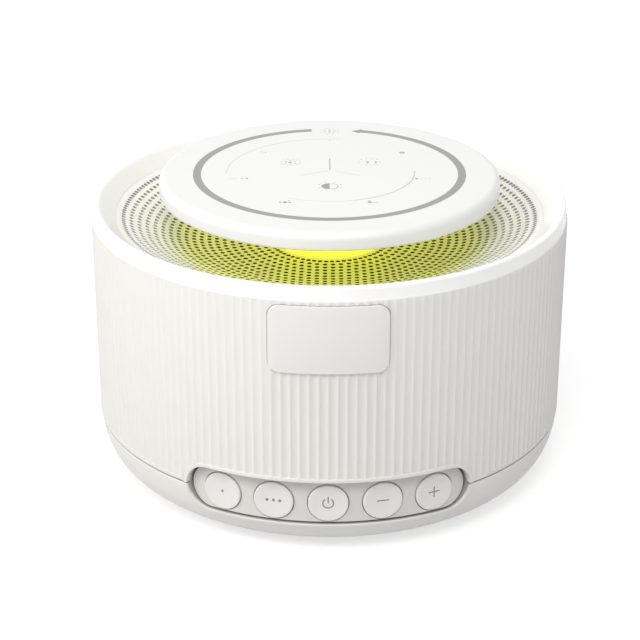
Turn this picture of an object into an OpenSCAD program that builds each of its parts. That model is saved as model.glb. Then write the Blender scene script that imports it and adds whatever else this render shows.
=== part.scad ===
// Round bedside sound machine with a fluted housing, a dished speaker grille that glows
// around a floating dial, and five push buttons in a wrapped recess at the front.
// Z is up, the front faces -Y, and the origin is the middle of the ground under the feet.

/* [Body] */
// Diameter over the crests of the flutes
body_d = 130; // [124:1:140]
// Height of the rim above the underside of the base
body_h = 75.4; // [72:0.2:84]
// Wall of the housing
wall = 2.8; // [2.4:0.1:3.4]
// Smooth rim's set-back behind the flute crests
rim_step = 0.5; // [0.42:0.02:0.8]
// Height of the smooth rim above the flutes
rim_h = 3.5; // [2.5:0.1:5]
// Rounding of the rim's outer edge
rim_round = 0.7; // [0.3:0.1:1.2]

/* [Base] */
// Height of the parting line above the underside
part_h = 15.15; // [14.6:0.05:17]
// Height at which the rounded underside starts
curve_h = 19.15; // [18.5:0.05:22]
// Inward reach of the rounded underside
curve_in = 15; // [12:0.5:17]
// Fullness of the rounded underside, 2 is an ellipse
curve_n = 2.32; // [2:0.02:2.8]
// Thickness of the floor
floor_t = 2.4; // [2:0.1:3]
// Width of the groove that marks the parting line
groove_w = 0.5; // [0.3:0.05:0.8]
// Depth of that groove
groove_d = 1.4; // [0.8:0.1:1.5]
// Inner lap of the base behind the housing, above the parting line
lap_h = 2.85; // [2:0.05:4]
// Thickness of the lap
lap_t = 1.4; // [1.2:0.1:1.8]

/* [Flutes] */
// Number of flutes round the housing
flute_n = 170; // [150:2:180]
// Depth of a flute
flute_depth = 0.4; // [0.3:0.02:0.4]
// Flat left on a crest
crest_w = 0.16; // [0.12:0.02:0.3]
// Plain lip below the flutes and round the recess
lip_h = 0.85; // [0.6:0.05:1.2]

/* [Grille] */
// Depth of the bowl's flat floor below the rim
bowl_drop = 13; // [12:0.2:14]
// Radius where the bowl starts to rise
bowl_flat_r = 29; // [24:1:34]
// Radius of curvature of the rising part
bowl_curve_r = 145; // [140:5:180]
// Thickness of the grille
grille_t = 1.6; // [1.4:0.1:2]
// Width of the smooth rim between its outer face and the grille
rim_w = 6.1; // [5.5:0.1:6.3]
// Distance of the outermost row of holes from the grille's edge
row_in = 1.8; // [1.6:0.1:2.4]
// Distance between rows
row_step = 2.125; // [2:0.025:2.14]
// Number of rows
row_n = 20; // [8:1:20]
// Distance between holes along a row
hole_step = 2.13; // [2:0.01:2.4]
// Closer distance along the first and the last row
edge_hole_step = 1.63; // [1.6:0.01:2]
// Diameter of a hole
hole_d = 1.2; // [0.9:0.05:1.2]

/* [Dial] */
// Diameter of the dial
dial_d = 92.8; // [84:0.4:96]
// Thickness of the dial
dial_h = 4.9; // [4.4:0.1:6]
// Height of the dial's underside above the rim
dial_gap = 1.9; // [1.2:0.1:4]
// Rounding of the dial's upper edge
dial_round = 1.9; // [1:0.1:2.4]
// Thickness of the dial's top
dial_top_t = 2.8; // [2:0.1:3]
// Thickness of the cover under the dial
cover_t = 1.2; // [1:0.1:1.5]
// Diameter of the encoder shaft
shaft_d = 6; // [5:0.5:6]

/* [Light] */
// Outer diameter of the light tube
tube_d = 28; // [27.4:0.2:31]
// Wall of the light tube
tube_wall = 2; // [1.2:0.1:2]
// Air between the light tube and the dial
tube_gap = 0.6; // [0.4:0.1:1.5]
// Number of light-emitting diodes
led_n = 8; // [4:1:10]

/* [Recess and buttons] */
// Height of the recess's middle above the underside
recess_z = 15.5; // [15.2:0.1:16]
// Half of the recess's height
recess_r = 6.6; // [6.2:0.1:7]
// Angle from the front to the centre of each round end
recess_half = 28.8; // [27.5:0.1:30]
// Depth of the recess's floor below the flute crests
recess_deep = 2; // [1.6:0.1:2.3]
// Diameter of a button
button_d = 10.5; // [9.5:0.1:10.8]
// Gap round a button
button_gap = 0.2; // [0.15:0.05:0.3]
// Angle between neighbouring buttons
button_step = 12.9; // [12.6:0.05:13]
// Height of the buttons above the underside
button_z = 14.7; // [14.5:0.1:15.6]
// Proud height of a button over the recess's floor
button_proud = 0.35; // [0.2:0.05:0.6]
// Travel of a button
button_travel = 0.8; // [0.5:0.1:1]

/* [Front plate] */
// Width of the plate along the wall
plate_w = 30.2; // [24:0.1:36]
// Height of the plate
plate_h = 18; // [12:0.5:20]
// Gap between the plate's upper edge and the smooth rim's shoulder
plate_drop = 0.6; // [0.4:0.1:6]
// Corner radius of the plate
plate_corner = 3; // [1:0.5:5]
// Proud height of the plate over the crests
plate_proud = 0.45; // [0.2:0.05:0.8]

/* [Speaker] */
// Diameter of the speaker's flange
speaker_d = 78; // [72:1:80]
// Height of the baffle's underside above the base's underside
baffle_z = 34; // [33:0.5:36]
// Thickness of the baffle
baffle_t = 3; // [2.5:0.5:4]
// Depth of the speaker's basket below its flange
basket_h = 19; // [18:0.5:20]
// Diameter of the magnet
magnet_d = 38; // [34:1:42]
// Thickness of the magnet
magnet_h = 5.6; // [5:0.1:6.2]
// Diameter of the voice coil
coil_d = 13.6; // [12:0.2:15]

/* [Feet] */
// Diameter of a foot
foot_d = 14; // [10:0.5:16]
// Depth of a foot's pocket
foot_in = 0.8; // [0.5:0.1:1]
// Height of a foot below the base
foot_proud = 1.2; // [0.8:0.1:2]
// Distance of the feet from the axis
foot_ring_r = 38; // [34:0.5:39]

/* [Power socket] */
// Diameter of the socket's mouth
jack_bore_d = 5.6; // [5.5:0.05:6.4]
// Depth of the socket
jack_depth = 9.5; // [9:0.1:10]
// Height of the socket above the underside
jack_z = 10.2; // [9.8:0.1:10.4]

/* [Main board] */
// Diameter of the main board
pcb_d = 66; // [60:1:70]
// Air between the floor and the main board
pcb_lift = 1.2; // [1:0.1:1.6]
// Distance of the board's screws from its edge
pcb_edge = 5; // [4.5:0.1:6]
// Diameter of a capacitor
can_d = 6.3; // [5:0.1:7]
// Height of a capacitor
can_h = 5.6; // [4:0.1:6.2]

/* [Screws] */
// Thread of the screws through the base, the baffle and the bridge
screw_d = 3; // [2.6:0.1:3.2]
// Diameter of their heads
head_d = 5.6; // [5:0.1:6]
// Height of their heads
head_h = 2; // [1.6:0.1:2.4]
// Length of a screw through the base
case_screw = 17; // [14:1:20]
// Length of a screw through the baffle
baffle_screw = 8; // [6:1:10]
// Thread of the small screws on the speaker and the main board
small_d = 2.4; // [2:0.1:2.6]
// Diameter of the small heads
small_head_d = 4.4; // [4:0.1:4.8]

/* [Hidden] */
$fn = 96;

// Named clearances
fit = 0.1;            // between pieces that are set into one another
part_gap = 0.3;       // between pieces that only pass one another
run_fit = 0.03;       // round the turning shaft, on the radius
screw_gap = 0.4;      // round a screw in the piece that it holds, on the diameter
rest_gap = 0.05;      // where a sprung piece rests against its stop

// Colours
ivory = [0.89, 0.88, 0.86];
white = [0.96, 0.96, 0.95];
glow = [1, 0.98, 0.15];
dark = [0.16, 0.16, 0.17];
steel = [0.7, 0.71, 0.73];
board = [0.1, 0.33, 0.2];

// Housing and base
body_r = body_d / 2;
in_r = body_r - wall;
rim_r = body_r - rim_step;
flute_top = body_h - rim_h - rim_step * 1.6;
bowl_z = body_h - bowl_drop;
grille_r = rim_r - rim_w;
row_r = grille_r - row_in;
recess_floor_r = body_r - recess_deep;
lap_r = in_r - fit;
base_in_r = lap_r - lap_t;
base_flat_r = body_r - curve_in;
cavity_r = base_flat_r + 4;
valley_r = body_r - flute_depth;

// Bowl
function bowl(r) = r <= bowl_flat_r ? bowl_z
  : bowl_z + sqrt(pow(bowl_curve_r, 2) - pow(bowl_flat_r, 2)) - sqrt(pow(bowl_curve_r, 2) - r * r);
function row_radius(k) = row_r - row_step * k;
function holes_in(k) =
  round(2 * PI * row_radius(k) / (k == 0 || k == last_row ? edge_hole_step : hole_step));
inner_room = tube_d / 2 - tube_wall + 0.9 + hole_d;
last_row = max([for (k = [0:row_n - 1]) if (row_radius(k) > inner_room) k]);
flat_rows = [for (k = [0:last_row]) if (row_radius(k) <= bowl_flat_r) k];
first_flat = len(flat_rows) > 0 ? flat_rows[0] : row_n;
grille_top = bowl(row_r + row_step / 2);
skirt_r = row_r + hole_d / 2 + 0.3;
ledge_z = grille_top - 4.2;
ledge_r = skirt_r - 0.1;

// Hub, dial and light, from the bowl's floor and the rim upwards
dial_z = body_h + dial_gap;
dial_r = dial_d / 2;
tube_r = tube_d / 2;
tube_in_r = tube_r - tube_wall;
cup_r = tube_in_r + 0.4;
hub_hole_r = cup_r + 0.5;
cup_top = bowl_z - 0.8;
cup_plate = 2;
bush_d = shaft_d + 1;
bush_top = bowl_z + 3.6;
shaft_foot = cup_top - 7.5;
shaft_top = dial_z + dial_h - dial_top_t - 0.1;
led_board_t = 1.2;

// Speaker stack
baffle_top = baffle_z + baffle_t;
speaker_r = speaker_d / 2;
flange_t = 1.6;
mouth_r = speaker_r - 4.5;
boss_ring = base_flat_r;
boss_d = 7.5;
boss_foot = 12;
post_ring = speaker_r + 7;
arm_z = baffle_top + 10;
magnet_r = magnet_d / 2;
coil_r = coil_d / 2;
rim_hole_r = speaker_r - 2.4;

// Buttons and their switches, measured from the axis
panel_back_r = base_in_r - 1.3;
stop_r = panel_back_r - 0.32;
flange_d = button_d + 1.4;
stem_tip = panel_back_r - 2.9;
switch_face = stem_tip - button_travel - 0.1;
board_out = switch_face - 3.9;
board_thick = 1.6;

// Main board
pcb_z = floor_t + pcb_lift;
pcb_t = 1.6;
pcb_top = pcb_z + pcb_t;
pcb_r = pcb_d / 2;
pcb_ring = pcb_r - pcb_edge;
jack_d = 8;
jack_back = jack_z - pcb_top;

// Front plate
plate_seat = body_r - 0.8;
plate_z = flute_top - plate_drop - plate_h / 2;

corners = [45, 135, 225, 315];
button_angles = [for (i = [-2:2]) i * button_step];

// Lifts the body off the ground by the height of the feet
module lift() {
  translate([0, 0, foot_proud]) children();
}

// Turns +X to face out of the body at an angle from the front
module facing(angle) {
  rotate([0, 0, angle - 90]) children();
}

// Rod along +X between two distances from the axis
module spoke(from, to, d) {
  translate([from, 0, 0]) rotate([0, 90, 0]) cylinder(h = to - from, d = d, $fn = 64);
}

// Band with round ends, wrapped round the axis at the recess's place
module wrapped_slot(from, to, end_r) {
  translate([0, 0, recess_z]) {
    facing(-recess_half) rotate_extrude(angle = 2 * recess_half, $fn = 180)
      translate([from, 0.05 - end_r]) square([to - from, 2 * end_r - 0.1]);
    facing(-recess_half) spoke(from - 1, to, 2 * end_r);
    facing(recess_half) spoke(from - 1, to, 2 * end_r);
  }
}

// Rounded rectangle as plain squares and discs
module round_rect(w, h, r) {
  square([w, h - 2 * r], center = true);
  square([w - 2 * r, h], center = true);
  for (x = [-1, 1], y = [-1, 1]) {
    translate([x * (w / 2 - r), y * (h / 2 - r)]) circle(r = r, $fn = 48);
  }
}

// Curved rounded plate at the front between two distances from the axis
module wall_patch(w, h, r, from, to) {
  intersection() {
    translate([0, 0, plate_z]) rotate([90, 0, 0]) linear_extrude(to + 5) round_rect(w, h, r);
    difference() {
      translate([0, 0, plate_z - h]) cylinder(r = to, h = 2 * h, $fn = 180);
      translate([0, 0, plate_z - h - 1]) cylinder(r = from, h = 2 * h + 2, $fn = 180);
    }
  }
}

// Screw standing on its tip: head above, shank below z = 0
module screw(shank_d, shank, head_d, head) {
  translate([0, 0, -shank]) cylinder(d = shank_d, h = shank, $fn = 32);
  difference() {
    cylinder(d = head_d, h = head, $fn = 32);
    translate([0, 0, head * 0.45]) cylinder(d = head_d * 0.45, h = head, $fn = 6);
  }
}

// Height at which a flute starts, so that the plain lip also passes over the recess
function flute_start(angle) =
  let (
    past = (abs(angle) - recess_half) * PI / 180 * body_r,
    reach = recess_r + lip_h,
    over = past <= 0 ? reach : past < reach ? sqrt(reach * reach - past * past) : 0
  ) max(part_h + groove_w / 2 + lip_h, over > 0 ? recess_z + over : 0);

// One flute's cutter, a rod whose surface runs through both crests and the valley
module flute_cutter(angle) {
  half = body_r * sin(180 / flute_n) - crest_w / 2;
  sag = body_r * cos(180 / flute_n) - valley_r;
  r = (half * half + sag * sag) / (2 * sag);
  z = flute_start(angle);
  facing(angle) translate([valley_r + r, 0, z])
    cylinder(r = r, h = flute_top + rim_step * 1.6 + 0.6 - z, $fn = 64);
}

module housing_profile() {
  polygon(concat(
    [
      [in_r, part_h], [body_r - groove_d, part_h],
      [body_r - groove_d, part_h + groove_w / 2], [body_r, part_h + groove_w / 2],
      [body_r, flute_top], [rim_r, flute_top + rim_step * 1.6]
    ],
    [for (a = [0:18:90]) [
      rim_r - rim_round * (1 - cos(a)), body_h - rim_round * (1 - sin(a))
    ]],
    [
      [rim_r - rim_round - 0.9, body_h], [grille_r + fit, grille_top + 0.25],
      [grille_r + fit, ledge_z], [ledge_r, ledge_z], [ledge_r, ledge_z - 2],
      [in_r, ledge_z - 6]
    ]
  ));
}

module housing() {
  color(ivory) lift() difference() {
    union() {
      rotate_extrude($fn = 180) housing_profile();
      for (a = corners) facing(a) {
        translate([boss_ring, 0, boss_foot]) cylinder(d = boss_d, h = baffle_z - boss_foot);
        translate([boss_ring, -1.25, part_h + lap_h + part_gap])
          cube([wall / 2 + in_r - boss_ring, 2.5, baffle_z - part_h - lap_h - part_gap]);
      }
    }
    for (i = [0:flute_n - 1]) flute_cutter((i + 0.5) * 360 / flute_n - 180);
    wrapped_slot(base_in_r - 4, body_r + 4, recess_r);
    wall_patch(plate_w + 2 * fit, plate_h + 2 * fit, plate_corner + fit, plate_seat, body_r + 2);
    for (a = corners) facing(a) translate([boss_ring, 0, boss_foot - 1])
      cylinder(d = screw_d, h = baffle_z - boss_foot + 2, $fn = 32);
  }
}

module base_profile() {
  top = part_h - groove_w / 2;
  a_top = acos(pow((curve_h - top) / curve_h, curve_n / 2));
  steps = 10;
  polygon(concat(
    [[0, 0], [base_flat_r, 0]],
    [for (i = [1:steps]) let (a = a_top * i / steps) [
      base_flat_r + curve_in * pow(sin(a), 2 / curve_n),
      curve_h * (1 - pow(cos(a), 2 / curve_n))
    ]],
    [
      [body_r - groove_d, top], [body_r - groove_d, part_h], [lap_r, part_h],
      [lap_r, part_h + lap_h], [base_in_r, part_h + lap_h],
      [base_in_r, floor_t + 4.8], [cavity_r + 3.5, floor_t + 2.2],
      [cavity_r, floor_t], [0, floor_t]
    ]
  ));
}

module base() {
  color(ivory) lift() difference() {
    union() {
      rotate_extrude($fn = 180) base_profile();
      for (a = corners) facing(a) translate([boss_ring, 0, floor_t - 1])
        cylinder(d = boss_d, h = boss_foot - floor_t + 1);
      for (a = corners) facing(a) translate([pcb_ring, 0, floor_t - 1])
        cylinder(d = 6, h = pcb_z - floor_t + 1, $fn = 48);
    }
    wrapped_slot(base_in_r - 4, body_r + 4, recess_r);
    facing(180) translate([0, 0, jack_z]) spoke(base_in_r - 12, body_r + 2, jack_d + 0.4);
    for (a = corners) facing(a) {
      translate([boss_ring, 0, -1]) cylinder(d = screw_d + screw_gap, h = boss_foot + 2, $fn = 32);
      translate([boss_ring, 0, -1]) cylinder(d = head_d + 2 * screw_gap, h = 5, $fn = 48);
      translate([foot_ring_r, 0, -1]) cylinder(d = foot_d, h = 1 + foot_in);
      translate([pcb_ring, 0, floor_t - 0.6]) cylinder(d = small_d, h = pcb_z, $fn = 32);
    }
  }
}

module front_plate() {
  color(white) lift() wall_patch(plate_w, plate_h, plate_corner, plate_seat, body_r + plate_proud);
}

// Ring that the panel is cut from
module panel_ring() {
  difference() {
    cylinder(r = recess_floor_r, h = 60, $fn = 180);
    translate([0, 0, -1]) cylinder(r = panel_back_r, h = 62, $fn = 180);
  }
}

// Straight part of the panel, its holes left for the ends to share
module panel_middle() {
  h = recess_r - fit - 0.05;
  reach = body_r + 20;
  intersection() {
    panel_ring();
    translate([0, 0, recess_z - h]) rotate([0, 0, -90]) linear_extrude(2 * h)
      polygon([[0, 0], for (s = [-1, 1]) reach * [cos(recess_half), s * sin(recess_half)]]);
  }
}

// Round end of the panel
module panel_end(side) {
  intersection() {
    panel_ring();
    translate([0, 0, recess_z]) facing(side * recess_half)
      spoke(panel_back_r - 3, recess_floor_r + 3, 2 * (recess_r - fit));
  }
}

// Takes the buttons' holes out of what it is given
module drilled(angles) {
  difference() {
    children();
    for (a = angles) facing(a) translate([0, 0, button_z])
      spoke(panel_back_r - 5, body_r + 2, button_d + 2 * button_gap);
  }
}

module button_panel() {
  color(ivory) lift() {
    drilled(button_angles) panel_middle();
    drilled([button_angles[0]]) panel_end(-1);
    drilled([button_angles[4]]) panel_end(1);
    for (z = [-recess_r - 1.4, recess_r - 0.3]) translate([0, 0, recess_z + z])
      facing(-recess_half) rotate_extrude(angle = 2 * recess_half, $fn = 180)
      translate([panel_back_r + 0.3, 0]) square([base_in_r - fit - panel_back_r - 0.3, 1.7]);
  }
}

// Button with its stop flange and stem, turned about the line that it slides along
module button(angle) {
  face = recess_floor_r + button_proud;
  stop = stop_r - rest_gap;
  color(white) lift() facing(angle) translate([0, 0, button_z]) rotate([0, 90, 0])
    rotate_extrude() polygon([
      [0, stem_tip], [2, stem_tip], [2, stop - 1.2], [flange_d / 2, stop - 1.2],
      [flange_d / 2, stop], [button_d / 2, stop], [button_d / 2, face - 0.3],
      [button_d / 2 - 0.3, face], [0, face - 0.12]
    ]);
}

module button_dot() { button(button_angles[0]); }
module button_dots() { button(button_angles[1]); }
module button_power() { button(button_angles[2]); }
module button_minus() { button(button_angles[3]); }
module button_plus() { button(button_angles[4]); }

// Rigid-flex board with one flat behind each button, standing on the base's floor
module switch_board() {
  outer = [for (i = [-3:2]) (i + 0.5) * button_step - 90];
  out_r = board_out / cos(button_step / 2);
  in_board_r = (board_out - board_thick) / cos(button_step / 2);
  color(board) lift() translate([0, 0, floor_t])
    linear_extrude(button_z + 6 - floor_t) polygon(concat(
      [for (a = outer) [out_r * cos(a), out_r * sin(a)]],
      [for (i = [5:-1:0]) [in_board_r * cos(outer[i]), in_board_r * sin(outer[i])]]
    ));
}

module switches() {
  color(dark) lift() for (a = button_angles) facing(a) translate([0, 0, button_z]) {
    translate([board_out, -3, -3]) cube([3, 6, 6]);
    spoke(board_out + 2.5, switch_face, 3.4);
  }
}

// One row of holes as a flat figure
module hole_row(k) {
  for (j = [0:holes_in(k) - 1]) {
    rotate(360 * j / holes_in(k)) translate([row_radius(k), 0]) circle(d = hole_d, $fn = 24);
  }
}

// Dished grille: a flat floor, then one narrow flat ring for each row of holes
module grille() {
  color(ivory) lift() {
    translate([0, 0, bowl_z - grille_t]) linear_extrude(grille_t) difference() {
      circle(r = row_radius(first_flat - 0.5), $fn = 180);
      circle(r = hub_hole_r, $fn = 96);
      for (k = flat_rows) hole_row(k);
    }
    for (k = [0:first_flat - 1]) translate([0, 0, bowl(row_radius(k)) - grille_t]) {
      linear_extrude(grille_t) difference() {
        circle(r = row_radius(k - 0.5), $fn = 180);
        circle(r = row_radius(k + 0.5), $fn = 180);
        hole_row(k);
      }
    }
    translate([0, 0, ledge_z]) rotate_extrude($fn = 180) polygon([
      [skirt_r, 0], [grille_r, 0], [grille_r, grille_top - ledge_z],
      [row_radius(-0.5), grille_top - ledge_z], [row_radius(-0.5), grille_top - ledge_z - 1],
      [skirt_r, grille_top - ledge_z - 1]
    ]);
  }
}

module light_tube() {
  color(glow) lift() translate([0, 0, bowl_z]) difference() {
    cylinder(r = tube_r, h = dial_z - tube_gap - bowl_z);
    translate([0, 0, -1]) cylinder(r = tube_in_r, h = dial_z - bowl_z + 2);
  }
}

module led_board() {
  color(white) lift() translate([0, 0, cup_top]) difference() {
    cylinder(r = tube_in_r - fit, h = led_board_t);
    translate([0, 0, -1]) cylinder(r = 6.6, h = led_board_t + 2);
  }
}

module leds() {
  color(glow) lift() for (i = [0:led_n - 1]) rotate([0, 0, 360 * i / led_n])
    translate([tube_in_r - 3.9, -1.4, cup_top + led_board_t]) cube([3, 2.8, 1.4]);
}

// Three-legged bridge over the speaker that carries the light and the dial
module hub_bridge() {
  color(dark) lift() difference() {
    union() {
      cylinder_at = arm_z;
      translate([0, 0, cylinder_at]) cylinder(r = cup_r, h = cup_top - cylinder_at);
      for (a = [0, 120, 240]) facing(180 + a) {
        translate([cup_r - 1, -3.5, arm_z]) cube([post_ring - cup_r + 1, 7, 3]);
        translate([post_ring, 0, baffle_top]) cylinder(d = 9, h = arm_z + 3 - baffle_top);
      }
    }
    translate([0, 0, arm_z - 1]) cylinder(r = cup_r - 1.8, h = cup_top - cup_plate - arm_z + 1);
    translate([0, 0, arm_z]) cylinder(d = bush_d + 2 * fit, h = cup_top, $fn = 48);
    for (a = [0, 120, 240]) facing(180 + a) {
      translate([post_ring, 0, baffle_top - 1]) cylinder(d = screw_d + screw_gap, h = arm_z, $fn = 32);
    }
  }
}

module bridge_screws() {
  color(steel) lift() for (a = [0, 120, 240]) facing(180 + a)
    translate([post_ring, 0, arm_z + 3]) screw(screw_d, arm_z + 3 - baffle_z - 0.5, head_d, head_h);
}

// Rotary encoder under the cup's plate, with its threaded bush through it
module encoder_body() {
  color(steel) lift() difference() {
    union() {
      translate([-6, -6, cup_top - cup_plate - 6.5]) cube([12, 12, 6.5]);
      translate([0, 0, cup_top - cup_plate - 1])
        cylinder(d = bush_d, h = bush_top - cup_top + cup_plate + 1, $fn = 48);
    }
    translate([0, 0, shaft_foot]) cylinder(d = shaft_d + 2 * run_fit, h = cup_top, $fn = 64);
  }
}

module encoder_nut() {
  color(steel) lift() translate([0, 0, cup_top]) difference() {
    cylinder(r = 5.77, h = 2, $fn = 6);
    translate([0, 0, -1]) cylinder(d = bush_d, h = 4, $fn = 48);
  }
}

module encoder_shaft() {
  color(steel) lift() translate([0, 0, shaft_foot + rest_gap])
    cylinder(d = shaft_d, h = shaft_top - shaft_foot - rest_gap, $fn = 64);
}

// Floating dial: a hollow cap whose boss presses onto the shaft
module dial() {
  boss_r = shaft_d / 2 + 2.2;
  top = dial_z + dial_h;
  color(white) lift() rotate_extrude($fn = 180) polygon(concat(
    [
      [shaft_d / 2, bush_top + 1], [boss_r, bush_top + 1], [boss_r, top - dial_top_t],
      [dial_r - 3.8, top - dial_top_t], [dial_r - 3.8, dial_z + cover_t],
      [dial_r - 2.5, dial_z + cover_t], [dial_r - 2.5, dial_z],
      [dial_r - 0.8, dial_z], [dial_r, dial_z + 0.8]
    ],
    [for (a = [0:15:90]) [
      dial_r - dial_round * (1 - cos(a)), top - dial_round * (1 - sin(a))
    ]],
    [[0, top], [0, shaft_top], [shaft_d / 2, shaft_top]]
  ));
}

module dial_cover() {
  color(white) lift() translate([0, 0, dial_z]) difference() {
    cylinder(r = dial_r - 2.5 - fit, h = cover_t, $fn = 180);
    translate([0, 0, -1]) cylinder(r = shaft_d / 2 + 2.2 + fit, h = cover_t + 2);
  }
}

module baffle() {
  color(dark) lift() translate([0, 0, baffle_z]) difference() {
    cylinder(r = in_r - part_gap, h = baffle_t, $fn = 180);
    translate([0, 0, -1]) cylinder(r = mouth_r, h = baffle_t + 2);
    for (a = corners) facing(a) {
      translate([boss_ring, 0, -1]) cylinder(d = screw_d + screw_gap, h = baffle_t + 2, $fn = 32);
      translate([rim_hole_r, 0, -1]) cylinder(d = small_d, h = baffle_t + 2, $fn = 32);
    }
    for (a = [0, 120, 240]) facing(180 + a) {
      translate([post_ring, 0, -1]) cylinder(d = screw_d, h = baffle_t + 2, $fn = 32);
    }
  }
}

module baffle_screws() {
  color(steel) lift() for (a = corners) facing(a)
    translate([boss_ring, 0, baffle_top]) screw(screw_d, baffle_screw, head_d, head_h);
}

// Pressed frame of the speaker, with four windows
module speaker_frame() {
  foot = baffle_top - basket_h;
  color(dark) lift() difference() {
    rotate_extrude($fn = 120) polygon([
      [mouth_r - 3, baffle_top + flange_t], [speaker_r, baffle_top + flange_t],
      [speaker_r, baffle_top], [mouth_r - 0.6, baffle_top], [magnet_r - 2, foot + 2],
      [magnet_r - 2, foot], [coil_r + 0.2, foot], [coil_r + 0.2, foot + 1.6],
      [magnet_r - 3.4, foot + 1.6], [mouth_r - 2.6, baffle_top], [mouth_r - 3, baffle_top]
    ]);
    for (a = corners) facing(a + 45) translate([magnet_r - 1, -7, foot + 4]) cube([14, 14, 9]);
    for (a = corners) facing(a) translate([rim_hole_r, 0, baffle_top - 1])
      cylinder(d = small_d + screw_gap, h = 5, $fn = 32);
  }
}

module speaker_magnet() {
  color(steel) lift() translate([0, 0, baffle_top - basket_h])
    rotate_extrude($fn = 96) polygon([
      [0, -magnet_h], [magnet_r - 0.4, -magnet_h], [magnet_r, 0.4 - magnet_h],
      [magnet_r, -0.4], [magnet_r - 2.5, -0.4], [magnet_r - 2.5, 0], [0, 0]
    ]);
}

module speaker_cone() {
  top = baffle_top + flange_t;
  foot = baffle_top - basket_h;
  neck = coil_r + 5.2;
  color(dark) lift() rotate_extrude($fn = 120) polygon([
    [mouth_r - 7, top], [mouth_r - 6, top], [mouth_r - 6, top + 0.6], [mouth_r - 7.2, top + 0.6],
    [neck, foot + 9.4], [neck - 4, foot + 12.4], [neck - 8, foot + 13.8], [0, foot + 14.2],
    [0, foot + 13.4], [neck - 8, foot + 13], [neck - 4, foot + 11.6], [neck - 1, foot + 8.6],
    [coil_r - 0.4, foot + 6], [coil_r - 0.4, foot], [coil_r, foot], [coil_r, foot + 5.6],
    [neck, foot + 8.4]
  ]);
}

module speaker_surround() {
  top = baffle_top + flange_t;
  mid = mouth_r - 4;
  color([0.22, 0.22, 0.23]) lift() rotate_extrude($fn = 120) polygon(concat(
    [[mid - 3, top + 0.6], [mid - 3, top + 1.2]],
    [for (a = [180:-20:0]) [mid + 1.6 * cos(a), top + 1.2 + 1.6 * sin(a)]],
    [[mid + 3, top + 1.2], [mid + 3, top], [mid + 1, top], [mid + 1, top + 0.6]],
    [for (a = [0:20:180]) [mid + 1 * cos(a), top + 0.9 + 1 * sin(a)]],
    [[mid - 1, top + 0.6]]
  ));
}

module speaker_screws() {
  color(steel) lift() for (a = corners) facing(a)
    translate([rim_hole_r, 0, baffle_top + flange_t])
      screw(small_d, baffle_t + 0.6, small_head_d, 1.5);
}

module main_board() {
  color(board) lift() translate([0, 0, pcb_z]) difference() {
    union() {
      cylinder(r = pcb_r, h = pcb_t);
      translate([-7, pcb_r - 13, 0]) cube([14, cavity_r + 13.4 - pcb_r, pcb_t]);
    }
    for (a = corners) facing(a) {
      translate([pcb_ring, 0, -1]) cylinder(d = small_d + screw_gap, h = pcb_t + 2.4, $fn = 32);
    }
  }
}

// Processor, amplifier and capacitors on the main board
module board_parts() {
  color(dark) lift() translate([0, 0, pcb_top]) {
    translate([-6, -5, 0]) cube([12, 10, 1.6]);
    translate([pcb_r - 23, 4, 0]) cube([7, 6, 1.4]);
    for (x = [17, 25]) translate([x - pcb_r, pcb_r - 19, 0])
      cylinder(d = can_d, h = can_h, $fn = 48);
    translate([-14, 13 - pcb_r, 0]) cube([8, 5, 4]);
    translate([4, 12 - pcb_r, 0]) cube([10, 5, 4]);
  }
}

module board_screws() {
  color(steel) lift() for (a = corners) facing(a)
    translate([pcb_ring, 0, pcb_top]) screw(small_d, pcb_top - floor_t + 0.4, small_head_d, 1.6);
}

// Barrel socket on the main board, flush with the rear of the base
module power_socket() {
  nose = body_r - 1.6;
  color(dark) lift() {
    difference() {
      union() {
        translate([-4.5, cavity_r - 11, pcb_top]) cube([9, 13.4, jack_z + 4.4 - pcb_top]);
        facing(180) translate([0, 0, jack_z]) spoke(cavity_r, nose, jack_d);
      }
      facing(180) translate([0, 0, jack_z]) spoke(nose - jack_depth, nose + 2, jack_bore_d);
    }
    facing(180) translate([0, 0, jack_z]) spoke(nose - jack_depth - 1, nose - 0.6, 2);
  }
}

module case_screws() {
  color(steel) lift() for (a = corners) facing(a)
    translate([boss_ring, 0, 4]) rotate([180, 0, 0]) screw(screw_d, case_screw, head_d, head_h);
}

module foot(angle) {
  color([0.3, 0.3, 0.3]) facing(angle) translate([foot_ring_r, 0, 0]) {
    cylinder(d = foot_d - 2 * fit, h = foot_proud + foot_in);
  }
}

module foot_1() { foot(corners[0]); }
module foot_2() { foot(corners[1]); }
module foot_3() { foot(corners[2]); }
module foot_4() { foot(corners[3]); }

housing();
base();
front_plate();
button_panel();
button_dot();
button_dots();
button_power();
button_minus();
button_plus();
switch_board();
switches();
grille();
light_tube();
led_board();
leds();
hub_bridge();
bridge_screws();
encoder_body();
encoder_nut();
encoder_shaft();
dial();
dial_cover();
baffle();
baffle_screws();
speaker_frame();
speaker_magnet();
speaker_cone();
speaker_surround();
speaker_screws();
main_board();
board_parts();
board_screws();
power_socket();
case_screws();
foot_1();
foot_2();
foot_3();
foot_4();
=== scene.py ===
"""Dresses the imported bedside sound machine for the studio.

The fluted housing, the base, the dished grille, the dial with its prints, the light and the
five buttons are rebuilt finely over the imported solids, and every other solid gets a finish.
Sizes are in millimetres above the underside of the base, as in the part's own source.
"""

import logging
import math
from collections.abc import Callable, Sequence
from dataclasses import dataclass, field
from enum import Enum

import bpy
from mathutils import Matrix, Vector


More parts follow.
